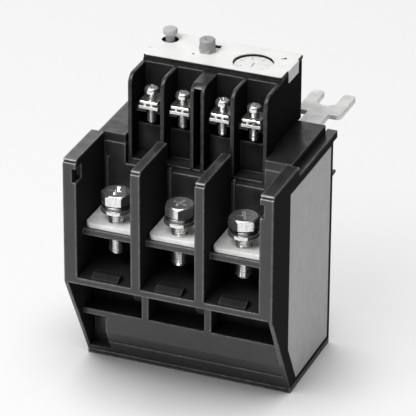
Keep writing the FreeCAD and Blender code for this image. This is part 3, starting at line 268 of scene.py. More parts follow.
def rolled_metal(name, colour, rough, rougher, run=(1, 1, 12), stain=None, bare=1.0):
    """Rolled or plated sheet: fine lines along the rolling direction and cloudy handling marks."""
    finish, tree, shader = new_finish(name)
    lines = grain(tree, rolling_line, run, detail=3.0)
    cloud = between(tree, grain(tree, handling_size), 0.0, 1.0)
    tint = stain or scaled_colour(colour, 0.82)
    body = blended(tree, cloud, scaled_colour(colour, 1.04), tint)
    dark_line = between(tree, lines, 0.0, 0.35, 0.5, 0.75)
    tree.links.new(blended(tree, dark_line, body, scaled_colour(colour, 0.6)), shader.inputs["Base Color"])
    tree.links.new(between(tree, grain(tree, sheen_size), rough, rougher), shader.inputs["Roughness"])
    shader.inputs["Metallic"].default_value = bare
    dimple(tree, shader, lines, 0.12, rolling_relief)
    return finish


heater_strip = rolled_metal("heater_alloy", (0.42, 0.37, 0.31), 0.35, 0.5)
bimetal_strip = rolled_metal("bimetal_alloy", (0.52, 0.5, 0.47), 0.3, 0.45, stain=(0.4, 0.31, 0.2))
for pole in (1, 2, 3):
    soften(f"heater_{pole}", heater_strip, strip_edge)
    soften(f"bimetal_{pole}", bimetal_strip, strip_edge)

# Line tongues.
# Forks stamped from copper sheet and tin plated: a soft satin grey, with the edges rounded by the stamping.
# Each one is held between the case and the top cover.
tongue_edge = 0.3 * mm
tongue_tin = rolled_metal("tinned_copper", (0.9, 0.9, 0.89), 0.34, 0.46, run=(1, 12, 1), bare=0.3)
for pole in (1, 2, 3):
    soften(f"line_tongue_{pole}", tongue_tin, tongue_edge)

# Load terminals.
# Brass plates with a dull tin coat, stamped with round front corners and tapped, with a tail that runs back
# to the heater. The plate fills its cell but for a small gap. The coat is cloudy from handling.
cell_width = 20.8 * mm
plate_gap = 0.3 * mm
plate_round = 2.6 * mm
plate_edge = 0.25 * mm
side_share = 0.95
corner_room = 0.01 * mm
same_corner = 0.001 * mm
terminal_tin = rolled_metal("dull_tin", (0.95, 0.95, 0.94), 0.3, 0.44, run=(12, 1, 1), bare=0.05)


def make_piece(name, shell, finish, body, slot, *stands_for, sharp=30):
    """A piece from its mesh, smooth up to the sharp angle, riding on a body in place of its nodes."""
    mesh = bpy.data.meshes.new(name)
    bmesh.ops.recalc_face_normals(shell, faces=shell.faces)
    shell.to_mesh(mesh)
    shell.free()
    mesh.polygons.foreach_set("use_smooth", [True] * len(mesh.polygons))
    mesh.set_sharp_from_angle(angle=math.radians(sharp))
    mesh.materials.append(finish)
    piece = bpy.data.objects.new(name, mesh)
    bpy.context.scene.collection.objects.link(piece)
    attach(piece, body)
    if stands_for:
        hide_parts(*stands_for)
    return piece


for pole in (1, 2, 3):
    node = f"load_terminal_{pole}"
    low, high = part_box(node)
    centre = (low.x + high.x) / 2
    half_plate = cell_width / 2 - plate_gap
    plate = bmesh.new()
    plate.from_mesh(nodes[node].data)
    bmesh.ops.remove_doubles(plate, verts=plate.verts, dist=same_corner)
    bmesh.ops.dissolve_limit(plate, angle_limit=flat_angle, verts=plate.verts, edges=plate.edges)
    sides = [v for v in plate.verts if abs(v.co.x - centre) > side_share * (high.x - centre)]
    for vert in sides:
        vert.co.x = centre + math.copysign(half_plate, vert.co.x - centre)
    corners = [
        edge for edge in plate.edges
        if all(v in sides and v.co.y < low.y + corner_room for v in edge.verts)
        and abs(edge.verts[0].co.x - edge.verts[1].co.x) < corner_room
    ]
    bmesh.ops.bevel(plate, geom=corners, offset=plate_round, offset_type="OFFSET", segments=6, profile=0.5,
                    affect="EDGES")
    piece = make_piece(f"load_plate_{pole}", plate, terminal_tin, "case", "terminal_metal", node)
    break_edges(piece, plate_edge)

# Load terminal screws.
# M6 hexagon screws with a cross recess, cold headed and zinc plated: chamfered corners, a rolled thread,
# and each one left at its own angle when it was last tightened.
screw_flats = 10.0 * mm
screw_chamfer = 4.75 * mm
screw_radius = 3.0 * mm
screw_pitch = 1.0 * mm
screw_turns = (8, -16, 27)
recess_span = 6.4 * mm
recess_width = 1.25 * mm
recess_depth = 2.6 * mm
chamfer_below = 0.4
chamfer_above = 0.6
thread_depth = 0.61
thread_slope = 1.6
thread_root = 0.25
wing_tip_span = 0.2
wing_tip_width = 1 / 3
carving_gap = 0.004 * mm
stain_size = 0.8 * mm
plating_size = 1.2 * mm
turning_mark = 0.2 * mm
turning_relief = 0.01 * mm


def solids(node):
    """Lowest and highest corners of the separate solids in a node, from left to right."""
    shell = bmesh.new()
    shell.from_mesh(nodes[node].data)
    bmesh.ops.remove_doubles(shell, verts=shell.verts, dist=same_corner)
    waiting = set(shell.verts)
    boxes = []
    while waiting:
        reached = [waiting.pop()]
        for vert in reached:
            fresh = {edge.other_vert(vert) for edge in vert.link_edges} & waiting
            waiting -= fresh
            reached.extend(fresh)
        low = Vector([min(v.co[i] for v in reached) for i in range(3)])
        high = Vector([max(v.co[i] for v in reached) for i in range(3)])
        boxes.append((low, high))
    shell.free()
    return sorted(boxes, key=lambda box: (box[0] + box[1]).x)


def lathe(shell, rings, steps=48):
    """A closed turned form of (radius, height) rings; either may be a function of the angle."""
    rows = []
    for radius, height in rings:
        row = []
        for i in range(steps if radius else 1):
            angle = math.tau * i / steps
            r = radius(angle) if callable(radius) else radius
            z = height(angle) if callable(height) else height
            row.append(shell.verts.new((r * math.cos(angle), r * math.sin(angle), z)))
        rows.append(row)
    for lower, upper in zip(rows, rows[1:]):
        for i in range(steps):
            loop = [lower[i % len(lower)], lower[(i + 1) % len(lower)]]
            loop += [upper[(i + 1) % len(upper)], upper[i % len(upper)]]
            shell.faces.new(list(dict.fromkeys(loop)))


def thread(foot, top, radius, pitch, rows=6):
    """Rings of a rolled thread from its bevelled tip up to a height."""
    depth = thread_depth * pitch
    count = round((top - foot) / pitch * rows)
    rings = [(0, foot), (radius - depth, foot)]
    for k in range(1, count + 1):
        height = foot + (top - foot) * k / count
        lead = min(1.0, (height - foot) / pitch)

        def ridge(angle, height=height, lead=lead):
            wave = abs(((height / pitch - angle / math.tau) % 1.0) * 2 - 1)
            crest = min(1.0, max(0.0, thread_slope * wave - thread_root))
            return radius - depth * (1 - lead * crest)

        rings.append((ridge, height))
    return rings


def carved(shell, shapes, how="DIFFERENCE"):
    """The form with each shape taken out of it, or joined to it by a union. The shapes are used up."""
    def held(name, form):
        mesh = bpy.data.meshes.new(name)
        form.to_mesh(mesh)
        form.free()
        thing = bpy.data.objects.new(name, mesh)
        bpy.context.scene.collection.objects.link(thing)
        return thing

    blank = held("blank", shell)
    tools = [held("tool", shape) for shape in shapes]
    for tool in tools:
        cut = blank.modifiers.new("cut", "BOOLEAN")
        cut.operation = how
        cut.solver = "EXACT"
        cut.object = tool
    done = bmesh.new()
    done.from_object(blank, bpy.context.evaluated_depsgraph_get())
    bmesh.ops.remove_doubles(done, verts=done.verts, dist=carving_gap)
    bmesh.ops.dissolve_degenerate(done, edges=done.edges, dist=carving_gap)
    for thing in (blank, *tools):
        mesh = thing.data
        bpy.data.objects.remove(thing)
        bpy.data.meshes.remove(mesh)
    return done


def cross_wings(top, span, width, depth):
    """The two tapered wings of a cross driver, ready to be taken out of a head."""
    wings = []
    levels = (
        (top + depth, span, width),
        (top, span / 2, width / 2),
        (top - depth, span * wing_tip_span, width * wing_tip_width),
    )
    for turn in (0, 90):
        wing = bmesh.new()
        rows = []
        for height, half, thick in levels:
            corners = ((-half, -thick), (half, -thick), (half, thick), (-half, thick))
            rows.append([wing.verts.new((x, y, height)) for x, y in corners])
        wing.faces.new(rows[0])
        wing.faces.new(rows[-1][::-1])
        for upper, lower in zip(rows, rows[1:]):
            for i in range(4):
                wing.faces.new((upper[i], lower[i], lower[(i + 1) % 4], upper[(i + 1) % 4]))
        bmesh.ops.recalc_face_normals(wing, faces=wing.faces)
        bmesh.ops.rotate(wing, verts=wing.verts, matrix=Matrix.Rotation(math.radians(turn), 3, "Z"))
        wings.append(wing)
    return wings


def at_spots(form, spots):
    """Copies of one form in one mesh; a spot is a place and a turn in degrees. The form is used up."""
    mesh = bpy.data.meshes.new("form")
    form.to_mesh(mesh)
    form.free()
    shell = bmesh.new()
    for place, turn in spots:
        known = set(shell.verts)
        shell.from_mesh(mesh)
        fresh = [v for v in shell.verts if v not in known]
        matrix = Matrix.Translation(place) @ Matrix.Rotation(math.radians(turn), 4, "Z")
        bmesh.ops.transform(shell, matrix=matrix, verts=fresh)
    bpy.data.meshes.remove(mesh)
    return shell


def axis_of(box):
    """The upright middle line of a box, as a place at height zero."""
    return Vector(((box[0].x + box[1].x) / 2, (box[0].y + box[1].y) / 2, 0))


def plated_steel(name, colour, rough, rougher, bare=1.0):
    """Plated fastener steel: bright, with small stains and fine turning marks."""
    finish, tree, shader = new_finish(name)
    spots = between(tree, grain(tree, stain_size), 0.0, 1.0, 0.45, 0.75)
    tree.links.new(blended(tree, spots, colour, scaled_colour(colour, 0.7)), shader.inputs["Base Color"])
    tree.links.new(between(tree, grain(tree, plating_size), rough, rougher), shader.inputs["Roughness"])
    shader.inputs["Metallic"].default_value = bare
    dimple(tree, shader, grain(tree, turning_mark, detail=2.0), 0.03, turning_relief)
    return finish


def hexagon(angle):
    """Radius of the hexagon head at an angle."""
    return screw_flats / 2 / math.cos((angle % (math.pi / 3)) - math.pi / 6)


screw_zinc = plated_steel("bright_zinc", (0.88, 0.88, 0.87), 0.1, 0.2, bare=0.92)
screw_boxes = solids("terminal_screws")
screw_tip = screw_boxes[0][0].z
screw_top = screw_boxes[0][1].z
screw_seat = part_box("terminal_spring_washers")[1].z
head = bmesh.new()
lathe(head, [
    *thread(screw_tip, screw_seat, screw_radius, screw_pitch),
    (screw_chamfer, screw_seat),
    (hexagon, lambda angle: screw_seat + (hexagon(angle) - screw_chamfer) * chamfer_below),
    (hexagon, lambda angle: screw_top - max(0.0, hexagon(angle) - screw_chamfer) * chamfer_above),
    (screw_chamfer, screw_top),
    (0, screw_top),
], steps=36)
head = carved(head, cross_wings(screw_top, recess_span, recess_width, recess_depth))
screw_spots = [(axis_of(box), turn) for box, turn in zip(screw_boxes, screw_turns)]
make_piece("terminal_screw_set", at_spots(head, screw_spots), screw_zinc, "case", "screw_steel",
           "terminal_screws")

# Washers under the load screws.
# A split spring washer coiled from square wire in dark grey steel, over a stamped flat washer
# whose upper edge is rolled by the punch.
coil_rise = 0.35 * mm
coil_gap = 14
coil_steps = 64
coil_corner = 0.18 * mm
coil_room = 0.15 * mm
washer_room = 0.2 * mm
punch_roll = 0.3 * mm
washer_turns = (200, 150, 260)
spring_low, spring_high = solids("terminal_spring_washers")[0]
spring_outer = (spring_high.y - spring_low.y) / 2
spring_inner = screw_radius + coil_room
coil = bmesh.new()
sections = []
for i in range(coil_steps + 1):
    share = i / coil_steps
    angle = math.radians(coil_gap / 2 + (360 - coil_gap) * share)
    low = spring_low.z + coil_rise * share
    high = spring_high.z - coil_rise * (1 - share)
    outline = [
        (spring_inner, low),
        (spring_outer - coil_corner, low),
        (spring_outer, low + coil_corner),
        (spring_outer, high - coil_corner),
        (spring_outer - coil_corner, high),
        (spring_inner, high),
    ]
    sections.append([coil.verts.new((r * math.cos(angle), r * math.sin(angle), z)) for r, z in outline])
for one, two in zip(sections, sections[1:]):
    for i in range(len(one)):
        coil.faces.new((one[i], two[i], two[(i + 1) % len(one)], one[(i + 1) % len(one)]))
coil.faces.new(sections[0])
coil.faces.new(sections[-1][::-1])
dark_steel = plated_steel("dark_grey_steel", (0.3, 0.3, 0.31), 0.26, 0.42)
coil_spots = [(axis_of(box), turn) for box, turn in zip(screw_boxes, washer_turns)]
make_piece("spring_washer_set", at_spots(coil, coil_spots), dark_steel, "case", "washer_steel",
           "terminal_spring_washers")

washer_low, washer_high = solids("terminal_washers")[0]
washer_outer = (washer_high.y - washer_low.y) / 2
washer_inner = screw_radius + washer_room
ring = bmesh.new()
lathe(ring, [
    (washer_inner, washer_low.z),
    (washer_outer - punch_roll / 3, washer_low.z),
    (washer_outer, washer_low.z + punch_roll / 3),
    (washer_outer, washer_high.z - punch_roll),
    (washer_outer - punch_roll * 0.3, washer_high.z - punch_roll * 0.3),
    (washer_outer - punch_roll, washer_high.z),
    (washer_inner + punch_roll / 2, washer_high.z),
    (washer_inner, washer_high.z - punch_roll / 2),
    (washer_inner, washer_low.z),
], steps=64)
bmesh.ops.remove_doubles(ring, verts=ring.verts, dist=same_corner)
make_piece("flat_washer_set", at_spots(ring, coil_spots), screw_zinc, "case", "washer_steel",
           "terminal_washers")

# Base cover screws and control block screws.
# Small self-tapping steel screws with a flat head and a cross recess. They are driven into blind holes of
# the case, the base cover's from below and the control block's from above.
flat_height = 1.1 * mm
tapping_shank = 0.5
tapping_span = 1.2
tapping_width = 0.26
tapping_depth = 0.7
turn_step = 37
for node, name, pitch, head_first in (("case_screws", "case_screw_set", 0.9 * mm, True),
                                      ("block_screws", "block_screw_set", 0.8 * mm, False)):
    boxes = solids(node)
    low, high = boxes[0]
    outer = (high.x - low.x) / 2
    length = high.z - low.z
    shank = outer * tapping_shank
    flat = flat_height if head_first else outer / 2
    form = bmesh.new()
    lathe(form, [
        *thread(-length, -flat, shank, pitch, rows=4),
        (outer, -flat),
        (outer, -flat / 4),
        (outer - flat / 4, 0),
        (0, 0),
    ], steps=24)
    form = carved(form, cross_wings(0, outer * tapping_span, outer * tapping_width, flat * tapping_depth))
    if head_first:
        bmesh.ops.rotate(form, verts=form.verts, matrix=Matrix.Rotation(math.pi, 3, "X"))
    level = low.z if head_first else high.z
    spots = [(axis_of(box) + Vector((0, 0, level)), turn_step * i) for i, box in enumerate(boxes)]
    make_piece(name, at_spots(form, spots), screw_zinc, "case", "fixing_steel", node)

# Trip sliders, trip lever, adjusting arm, setting cam and contact rocker.
# Injection-moulded in a natural ivory resin that slides without grease; the rocker is black. The sliders lie
# across the poles, and the others turn on pins or on the dial's stem in the room under the lid.
trip_edge = 0.12 * mm
# Its paler edge colour is a painted highlight.
ivory_resin = moulded("ivory_resin", (0.55, 0.48, 0.36), 0.5, 0.38, (0.7, 0.64, 0.52))
for node in ("push_slider", "pull_slider", "trip_lever", "adjusting_arm", "setting_cam"):
    soften(node, ivory_resin, trip_edge)
# Its paler edge colour is a painted highlight.
rocker_resin = moulded("rocker_resin", (0.03, 0.03, 0.032), 0.5, 0.38, (0.09, 0.09, 0.09))
soften("rocker", rocker_resin, trip_edge)

# Pivot pins and moving contacts.
# The pins are ground steel rod cut to length and pressed into their bosses; the contacts are strips of
# silver-faced bronze that the rocker carries.
pin_steel = rolled_metal("ground_rod", (0.66, 0.66, 0.66), 0.18, 0.3, run=(1, 10, 10))
for node in ("lever_pin", "rocker_pin", "adjuster_pin"):
    soften(node, pin_steel, trip_edge)
contact_silver = rolled_metal("contact_silver", (0.86, 0.83, 0.78), 0.2, 0.35, run=(1, 10, 1))
for node in ("moving_contact_nc", "moving_contact_no"):
    soften(node, contact_silver, strip_edge)

# Control block housing and lid.
# Moulded phenolic in a deeper black than the case, with four open cells for the auxiliary terminals and a
# slot in the post between them. The lid carries the controls; a thin lip below its front edge keeps dust out.
block_black = (0.009, 0.009, 0.0095)
block_edge = 0.25 * mm
lid_edge = 0.15 * mm
lip_edge = 0.06 * mm
slot_half = 1.3 * mm
slot_reach = 6.5 * mm
slot_depth = 8.5 * mm
slot_roof = 1.6 * mm
lid_rise = 0.6 * mm
lip_thickness = 0.4 * mm
lip_root = 0.1 * mm
# A painted highlight on the edges of both, and a painted shade on the flanks and foot of the housing.
block_skin = moulded("block_phenolic", block_black, 0.42, 0.32, (0.1, 0.1, 0.1), gloss=0.45, flank=1.0)
lid_skin = moulded("lid_phenolic", block_black, 0.75, 0.6, (0.03, 0.03, 0.03), gloss=0.2)
soften("block_lid", lid_skin, lid_edge)


def bar(low, high):
    """A plain bar between two corners."""
    shell = bmesh.new()
    matrix = Matrix.LocRotScale((low + high) / 2, None, high - low)
    bmesh.ops.create_cube(shell, size=1.0, matrix=matrix)
    return shell


block_low, block_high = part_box("control_housing")
wall_top = block_high.z - lid_rise
housing = bmesh.new()
housing.from_mesh(nodes["control_housing"].data)
bmesh.ops.remove_doubles(housing, verts=housing.verts, dist=same_corner)
post_slot = bar(Vector((-slot_half, block_low.y - slot_reach, wall_top - slot_depth)),
                Vector((slot_half, block_low.y + slot_reach, wall_top - slot_roof)))
housing = carved(housing, [post_slot])
piece = make_piece("block_housing", housing, block_skin, "case", "block_plastic", "control_housing")
break_edges(piece, block_edge)

lid_low, lid_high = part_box("block_lid")
lip = bar(Vector((lid_low.x, lid_low.y - lip_thickness, wall_top - lip_root)),
          Vector((lid_high.x, lid_low.y, wall_top + lid_rise)))
break_edges(make_piece("block_lip", lip, lid_skin, "case", "block_plastic"), lip_edge)

# Auxiliary terminals.
# Thin nickel-plated brass plates, one on the shelf of each cell. A tail runs from each one through the cell's
# back wall into the room behind, where the moving contacts meet it.
aux_edge = 0.15 * mm
aux_nickel = rolled_metal("thin_nickel", (0.86, 0.86, 0.84), 0.24, 0.36, run=(1, 12, 1), bare=0.7)
for cell in (1, 2, 3, 4):
    soften(f"aux_terminal_{cell}", aux_nickel, aux_edge)

# Auxiliary screws and their square washers.
# M3.5 pan-head screws with a cross recess, held captive in a square pressed washer. Two small guides pressed
# down from its front edge reach to the plate and keep the wires to the left and right of the screw.
aux_radius = 1.75 * mm
aux_pitch = 0.6 * mm
aux_turns = (20, 62, -12, 41)
aux_head_height = 2.2 * mm
aux_rim = 0.15 * mm
aux_dome = ((1.0, 1.2 * mm), (0.94, 1.7 * mm), (0.78, 2.05 * mm), (0.5, aux_head_height))
aux_recess_span = 3.7 * mm
aux_recess_width = 0.8 * mm
aux_recess_depth = 1.5 * mm
clamp_corner = 0.25 * mm
clamp_edge = 0.15 * mm
clamp_room = 0.05 * mm
guide_spread = 1.25 * mm
guide_width = 0.8 * mm
guide_depth = 1.0 * mm
guide_inset = 0.05 * mm
guide_gap = 0.03 * mm
aux_boxes = solids("aux_screws")
aux_low, aux_high = aux_boxes[0]
aux_head = (aux_high.x - aux_low.x) / 2
aux_seat = aux_high.z - aux_head_height
pan = bmesh.new()
lathe(pan, [
    *thread(aux_low.z, aux_seat - aux_pitch, aux_radius, aux_pitch),
    (aux_radius, aux_seat),
    (aux_head - aux_rim, aux_seat),
    (aux_head, aux_seat + aux_rim),
    *[(aux_head * share, aux_seat + height) for share, height in aux_dome],
    (0, aux_high.z),
], steps=32)
pan = carved(pan, cross_wings(aux_high.z, aux_recess_span, aux_recess_width, aux_recess_depth))
aux_spots = [(axis_of(box), turn) for box, turn in zip(aux_boxes, aux_turns)]
make_piece("aux_screw_set", at_spots(pan, aux_spots), screw_zinc, "case", "screw_steel", "aux_screws")

clamp_low, clamp_high = solids("aux_washers")[0]
clamp_half = (clamp_high.x - clamp_low.x) / 2
clamp_bore = aux_radius + clamp_room


def square(angle):
    """Radius of the square washer at an angle, its corners cut round."""
    edge = clamp_half / max(abs(math.cos(angle)), abs(math.sin(angle)))
    return min(edge, clamp_half * math.sqrt(2) - clamp_corner)


clamp = bmesh.new()
lathe(clamp, [
    (clamp_bore, clamp_low.z),
    (lambda angle: square(angle) - clamp_edge, clamp_low.z),
    (square, clamp_low.z + clamp_edge),
    (square, clamp_high.z - clamp_edge),
    (lambda angle: square(angle) - clamp_edge, clamp_high.z),
    (clamp_bore, clamp_high.z),
    (clamp_bore, clamp_low.z),
], steps=64)
bmesh.ops.remove_doubles(clamp, verts=clamp.verts, dist=same_corner)
bmesh.ops.recalc_face_normals(clamp, faces=clamp.faces)
guide_front = guide_inset - clamp_half
guide_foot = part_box("aux_terminal_1")[1].z + guide_gap
guide_top = (clamp_low.z + clamp_high.z) / 2
guides = [
    bar(Vector((x - guide_width / 2, guide_front, guide_foot)),
        Vector((x + guide_width / 2, guide_front + guide_depth, guide_top)))
    for x in (-guide_spread, guide_spread)
]
clamp = carved(clamp, guides, "UNION")
clamp_spots = [(axis_of(box), 0) for box in aux_boxes]
make_piece("aux_washer_set", at_spots(clamp, clamp_spots), screw_zinc, "case", "washer_steel", "aux_washers")

# Reset spring.
# A short coil of round spring wire under the button's collar, built as a fixed coil that rides on the case.
wire = 0.4 * mm
wire_turns = 3.5
wire_steps = 24
wire_sides = 8
spring_low, spring_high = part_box("reset_spring")
wire_radius = (spring_high.x - spring_low.x - wire) / 2
strand = bmesh.new()
loops = []
for i in range(round(wire_turns * wire_steps) + 1):
    angle = math.tau * i / wire_steps
    share = i / (wire_turns * wire_steps)
    height = spring_low.z + wire / 2 + (spring_high.z - spring_low.z - wire) * share
    loop = []
    for k in range(wire_sides):
        lean = math.tau * k / wire_sides
        reach = wire_radius + wire / 2 * math.cos(lean)
        spot = (reach * math.cos(angle), reach * math.sin(angle), height + wire / 2 * math.sin(lean))
        loop.append(strand.verts.new(Vector(spot) + axis_of((spring_low, spring_high))))
    loops.append(loop)
for one, two in zip(loops, loops[1:]):
    for k in range(wire_sides):
        strand.faces.new((one[k], two[k], two[(k + 1) % wire_sides], one[(k + 1) % wire_sides]))
strand.faces.new(loops[0])
strand.faces.new(loops[-1][::-1])
spring_wire = plated_steel("spring_wire", (0.5, 0.5, 0.5), 0.2, 0.32)
reset_coil = make_piece("reset_coil", strand, spring_wire, "case", "pin_steel", "reset_spring", sharp=60)
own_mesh(reset_coil)

# Reset button, reset mode knob and current dial.
# Acetal mouldings with a fine satin skin, pale grey to white. They stand in bores of the lid and the block,
# where the button slides and the knob and the dial turn.
button_edge = 0.2 * mm
dial_edge = 0.15 * mm
# Their paler edge colours are a painted highlight.
button_acetal = moulded("button_acetal", (0.5, 0.5, 0.5), 0.5, 0.4, (0.62, 0.62, 0.62))
knob_acetal = moulded("knob_acetal", (0.3, 0.3, 0.3), 0.5, 0.4, (0.5, 0.5, 0.5))
dial_acetal = moulded("dial_acetal", (0.8, 0.8, 0.79), 0.5, 0.4, (0.86, 0.86, 0.85), cloudy=0.03)
soften("reset_button", button_acetal, button_edge)
coat("mode_knob", knob_acetal)
soften("setting_dial", dial_acetal, dial_edge)

# Face plate.
# A thin sheet of white plastic, punched for the controls and folded down over the lid at both ends. Its
# punched edge is a little greyer than its face.
sheet_edge = 0.08 * mm
punched_edge = 0.16 * mm
face_white = moulded("white_sheet", (0.84, 0.84, 0.83), 0.5, 0.4, (0.78, 0.78, 0.77), edge=punched_edge,
                     cloudy=0.04)
soften("face_plate", face_white, sheet_edge)

# Printed marks.
# Screen-printed ink, a little thin in places: a dot by the mode knob and a pointer towards the dial in black,
# and a scale with plain figures on the dial in pale grey.
ink = 0.03 * mm
thin_spot = 0.25 * mm
ink_sheen = 0.6 * mm
dot_sides = 16
dot_spot = Vector((-10.0, 3.75, 0)) * mm
dot_radius = 0.45 * mm
pointer_spot = Vector((21.5, 12.05, 0)) * mm
pointer_length = 2.4 * mm
pointer_width = 1.5 * mm
scale_marks = 11
scale_sweep = 240
scale_radius = 6.5 * mm
scale_line = 0.24 * mm
long_mark = 1.1 * mm
short_mark = 0.7 * mm
figure_radius = 4.7 * mm
figure_size = 1.7 * mm


def printed(name, colour):
    """Printing ink: even, with thin spots where the ground shows through."""
    finish, tree, shader = new_finish(name)
    thin = between(tree, grain(tree, thin_spot), 0.0, 0.6, 0.5, 0.8)
    tree.links.new(blended(tree, thin, colour, (0.6, 0.6, 0.59)), shader.inputs["Base Color"])
    tree.links.new(between(tree, grain(tree, ink_sheen), 0.45, 0.6), shader.inputs["Roughness"])
    return finish


def inked(shell, outline, level):
    """One inked area: a closed outline raised by the thickness of the ink."""
    foot = [shell.verts.new((x, y, level)) for x, y in outline]
    top = [shell.verts.new((x, y, level + ink)) for x, y in outline]
    shell.faces.new(foot[::-1])
    shell.faces.new(top)
    for i in range(len(outline)):
        j = (i + 1) % len(outline)
        shell.faces.new((foot[i], foot[j], top[j], top[i]))


def figure(shell, sign, place, turn):
    """A figure of plain type laid flat at a place."""
    words = bpy.data.curves.new("figure", "FONT")
    words.body = sign
    words.size = figure_size
    words.align_x = "CENTER"
    words.align_y = "CENTER"
    words.extrude = ink / 2
    thing = bpy.data.objects.new("figure", words)
    mesh = bpy.data.meshes.new_from_object(thing)
    mesh.transform(Matrix.Translation(place) @ Matrix.Rotation(turn, 4, "Z"))
    shell.from_mesh(mesh)
    bpy.data.objects.remove(thing)
    bpy.data.curves.remove(words)
    bpy.data.meshes.remove(mesh)


face_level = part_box("face_plate")[1].z
dial_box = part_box("setting_dial")
dial_axis = axis_of(dial_box)
marks = bmesh.new()
dot_rim = [(math.cos(math.tau * i / dot_sides), math.sin(math.tau * i / dot_sides)) for i in range(dot_sides)]
inked(marks, [(dot_spot.x + dot_radius * x, dot_spot.y + dot_radius * y) for x, y in dot_rim], face_level)
along = (pointer_spot - dial_axis).normalized()
across = Vector((-along.y, along.x, 0))
corners = [
    pointer_spot - along * pointer_length / 2,
    pointer_spot + along * pointer_length / 2 - across * pointer_width / 2,
    pointer_spot + along * pointer_length / 2 + across * pointer_width / 2,
]
inked(marks, [(corner.x, corner.y) for corner in corners], face_level)
make_piece("face_marks", marks, printed("black_ink", (0.025, 0.025, 0.027)), "case", "face_plastic")

scale = bmesh.new()
for i in range(scale_marks):
    turn = math.radians(scale_sweep * (i / (scale_marks - 1) - 0.5))
    out = Vector((-math.sin(turn), math.cos(turn), 0))
    side = Vector((out.y, -out.x, 0)) * scale_line / 2
    reach = long_mark if i % 2 == 0 else short_mark
    tips = [out * scale_radius - side, out * scale_radius + side]
    tips += [out * (scale_radius - reach) + side, out * (scale_radius - reach) - side]
    inked(scale, [(dial_axis.x + tip.x, dial_axis.y + tip.y) for tip in tips], dial_box[1].z)
    if i % 2 == 0:
        place = dial_axis + out * figure_radius + Vector((0, 0, dial_box[1].z + ink / 2))
        figure(scale, str(i // 2 + 1), place, turn)
bmesh.ops.remove_doubles(scale, verts=scale.verts, dist=same_corner)
make_piece("dial_scale", scale, printed("grey_ink", (0.4, 0.4, 0.4)), "dial", "dial_plastic")

# Side plate and marker tags.
# A thin aluminium plate let into the right wall and glued, with its rolled face left bare, and small black
# plastic tags pressed into the cell floors.
tag_edge = 0.15 * mm
plate_foil = rolled_metal("plate_aluminium", (0.54, 0.54, 0.54), 0.5, 0.6, run=(1, 14, 1),
                          stain=(0.51, 0.51, 0.51), bare=0.3)
soften("side_plate", plate_foil, sheet_edge)
# Its paler edge colour is a painted highlight.
tag_black = moulded("tag_plastic", (0.008, 0.008, 0.008), 0.7, 0.6, (0.03, 0.03, 0.03), gloss=0.2)
soften("marker_tags", tag_black, tag_edge)

# Studio.
# A pale floor that glows a little to camera and glossy rays, with a painted shadow where the object stands
# over it, soft light from the front left, from overhead and from the rear left, and a camera at the
# photograph's angle.
floor_half = 4.0
floor_white = (0.9, 0.9, 0.9, 1)
glow_share = 0.65
shade_reach = 0.06
shade_dark = 0.3
shade_open = 0.85
sky_strength = 0.2
floor_mesh = bpy.data.meshes.new("floor")
floor_corners = [(x * floor_half, y * floor_half, 0) for x, y in ((-1, -1), (1, -1), (1, 1), (-1, 1))]
floor_mesh.from_pydata(floor_corners, [], [(0, 1, 2, 3)])
floor = bpy.data.objects.new("floor", floor_mesh)
bpy.context.scene.collection.objects.link(floor)
floor_paint, floor_tree, floor_shader = new_finish("floor_paint")
floor_shader.inputs["Base Color"].default_value = floor_white
floor_shader.inputs["Roughness"].default_value = 0.9
floor_shader.inputs["Specular IOR Level"].default_value = 0.1
floor_glow = floor_tree.nodes.new("ShaderNodeEmission")
# Painted shadow: ambient occlusion darkens the floor's glow near the object.
floor_shadow_depth = floor_tree.nodes.new("ShaderNodeAmbientOcclusion")
floor_shadow_depth.inputs["Distance"].default_value = shade_reach
glow = between(floor_tree, floor_shadow_depth.outputs["AO"], 0.0, 1.0, shade_dark, shade_open)
floor_tree.links.new(glow, floor_glow.inputs["Strength"])
ray = floor_tree.nodes.new("ShaderNodeLightPath")
seen = ray.outputs["Is Camera Ray"]
for kind in ("Is Glossy Ray", "Is Transmission Ray"):
    seen = paired(floor_tree, "MAXIMUM", seen, ray.outputs[kind])
backdrop = floor_tree.nodes.new("ShaderNodeMixShader")
floor_tree.links.new(between(floor_tree, seen, 0.0, glow_share, 0.0, 1.0), backdrop.inputs["Fac"])
floor_tree.links.new(floor_shader.outputs["BSDF"], backdrop.inputs[1])
floor_tree.links.new(floor_glow.outputs["Emission"], backdrop.inputs[2])
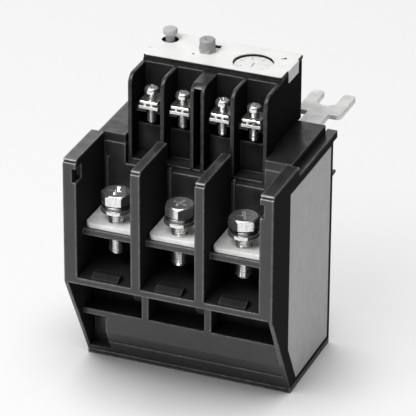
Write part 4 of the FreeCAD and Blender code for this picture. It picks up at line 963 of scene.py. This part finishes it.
floor_tree.links.new(backdrop.outputs["Shader"], floor_tree.nodes["Material Output"].inputs["Surface"])
floor_mesh.materials.append(floor_paint)

world = bpy.data.worlds.new("studio")
bpy.context.scene.world = world
world.use_nodes = True
sky = world.node_tree.nodes["Background"]
sky.inputs["Color"].default_value = (1, 1, 1, 1)
sky.inputs["Strength"].default_value = sky_strength


def soft_box(name, place, aim, size, power):
    """A square soft light that looks at a point."""
    lamp = bpy.data.lights.new(name, "AREA")
    lamp.size = size
    lamp.energy = power
    box = bpy.data.objects.new(name, lamp)
    box.location = place
    box.rotation_mode = "QUATERNION"
    box.rotation_quaternion = (Vector(aim) - Vector(place)).to_track_quat("-Z", "Y")
    bpy.context.scene.collection.objects.link(box)


middle = (0, 0, 0.05)
soft_box("key", (-0.24, -0.52, 0.86), middle, 0.6, 8.0)
soft_box("overhead", (-0.2, 0.05, 1.15), middle, 0.8, 2.6)
soft_box("rear", (-0.58, 0.95, 0.62), middle, 0.55, 1.5)

view_azimuth = math.radians(21.757)
view_elevation = math.radians(27.521)
view_roll = math.radians(0.3)
view_distance = 1.2223
view_aim = Vector((0, -0.02135, 0.048))
view_shift = (0.00568, 0.01608)
sensor = 36.0
lens = 293.05
back = Vector((
    math.sin(view_azimuth) * math.cos(view_elevation),
    -math.cos(view_azimuth) * math.cos(view_elevation),
    math.sin(view_elevation),
))
level = Vector((math.cos(view_azimuth), math.sin(view_azimuth), 0))
upright = back.cross(level)
right = level * math.cos(view_roll) + upright * math.sin(view_roll)
up = upright * math.cos(view_roll) - level * math.sin(view_roll)
camera = bpy.data.objects.new("camera", bpy.data.cameras.new("camera"))
camera.data.sensor_width = sensor
camera.data.lens = lens
camera.data.clip_start = 0.1
camera.data.clip_end = 20
camera.matrix_world = Matrix.LocRotScale(
    view_aim + right * view_shift[0] + up * view_shift[1] + back * view_distance,
    Matrix((right, up, back)).transposed(),
    None,
)
bpy.context.scene.collection.objects.link(camera)
bpy.context.scene.camera = camera
bpy.context.scene.view_settings.view_transform = "Standard"
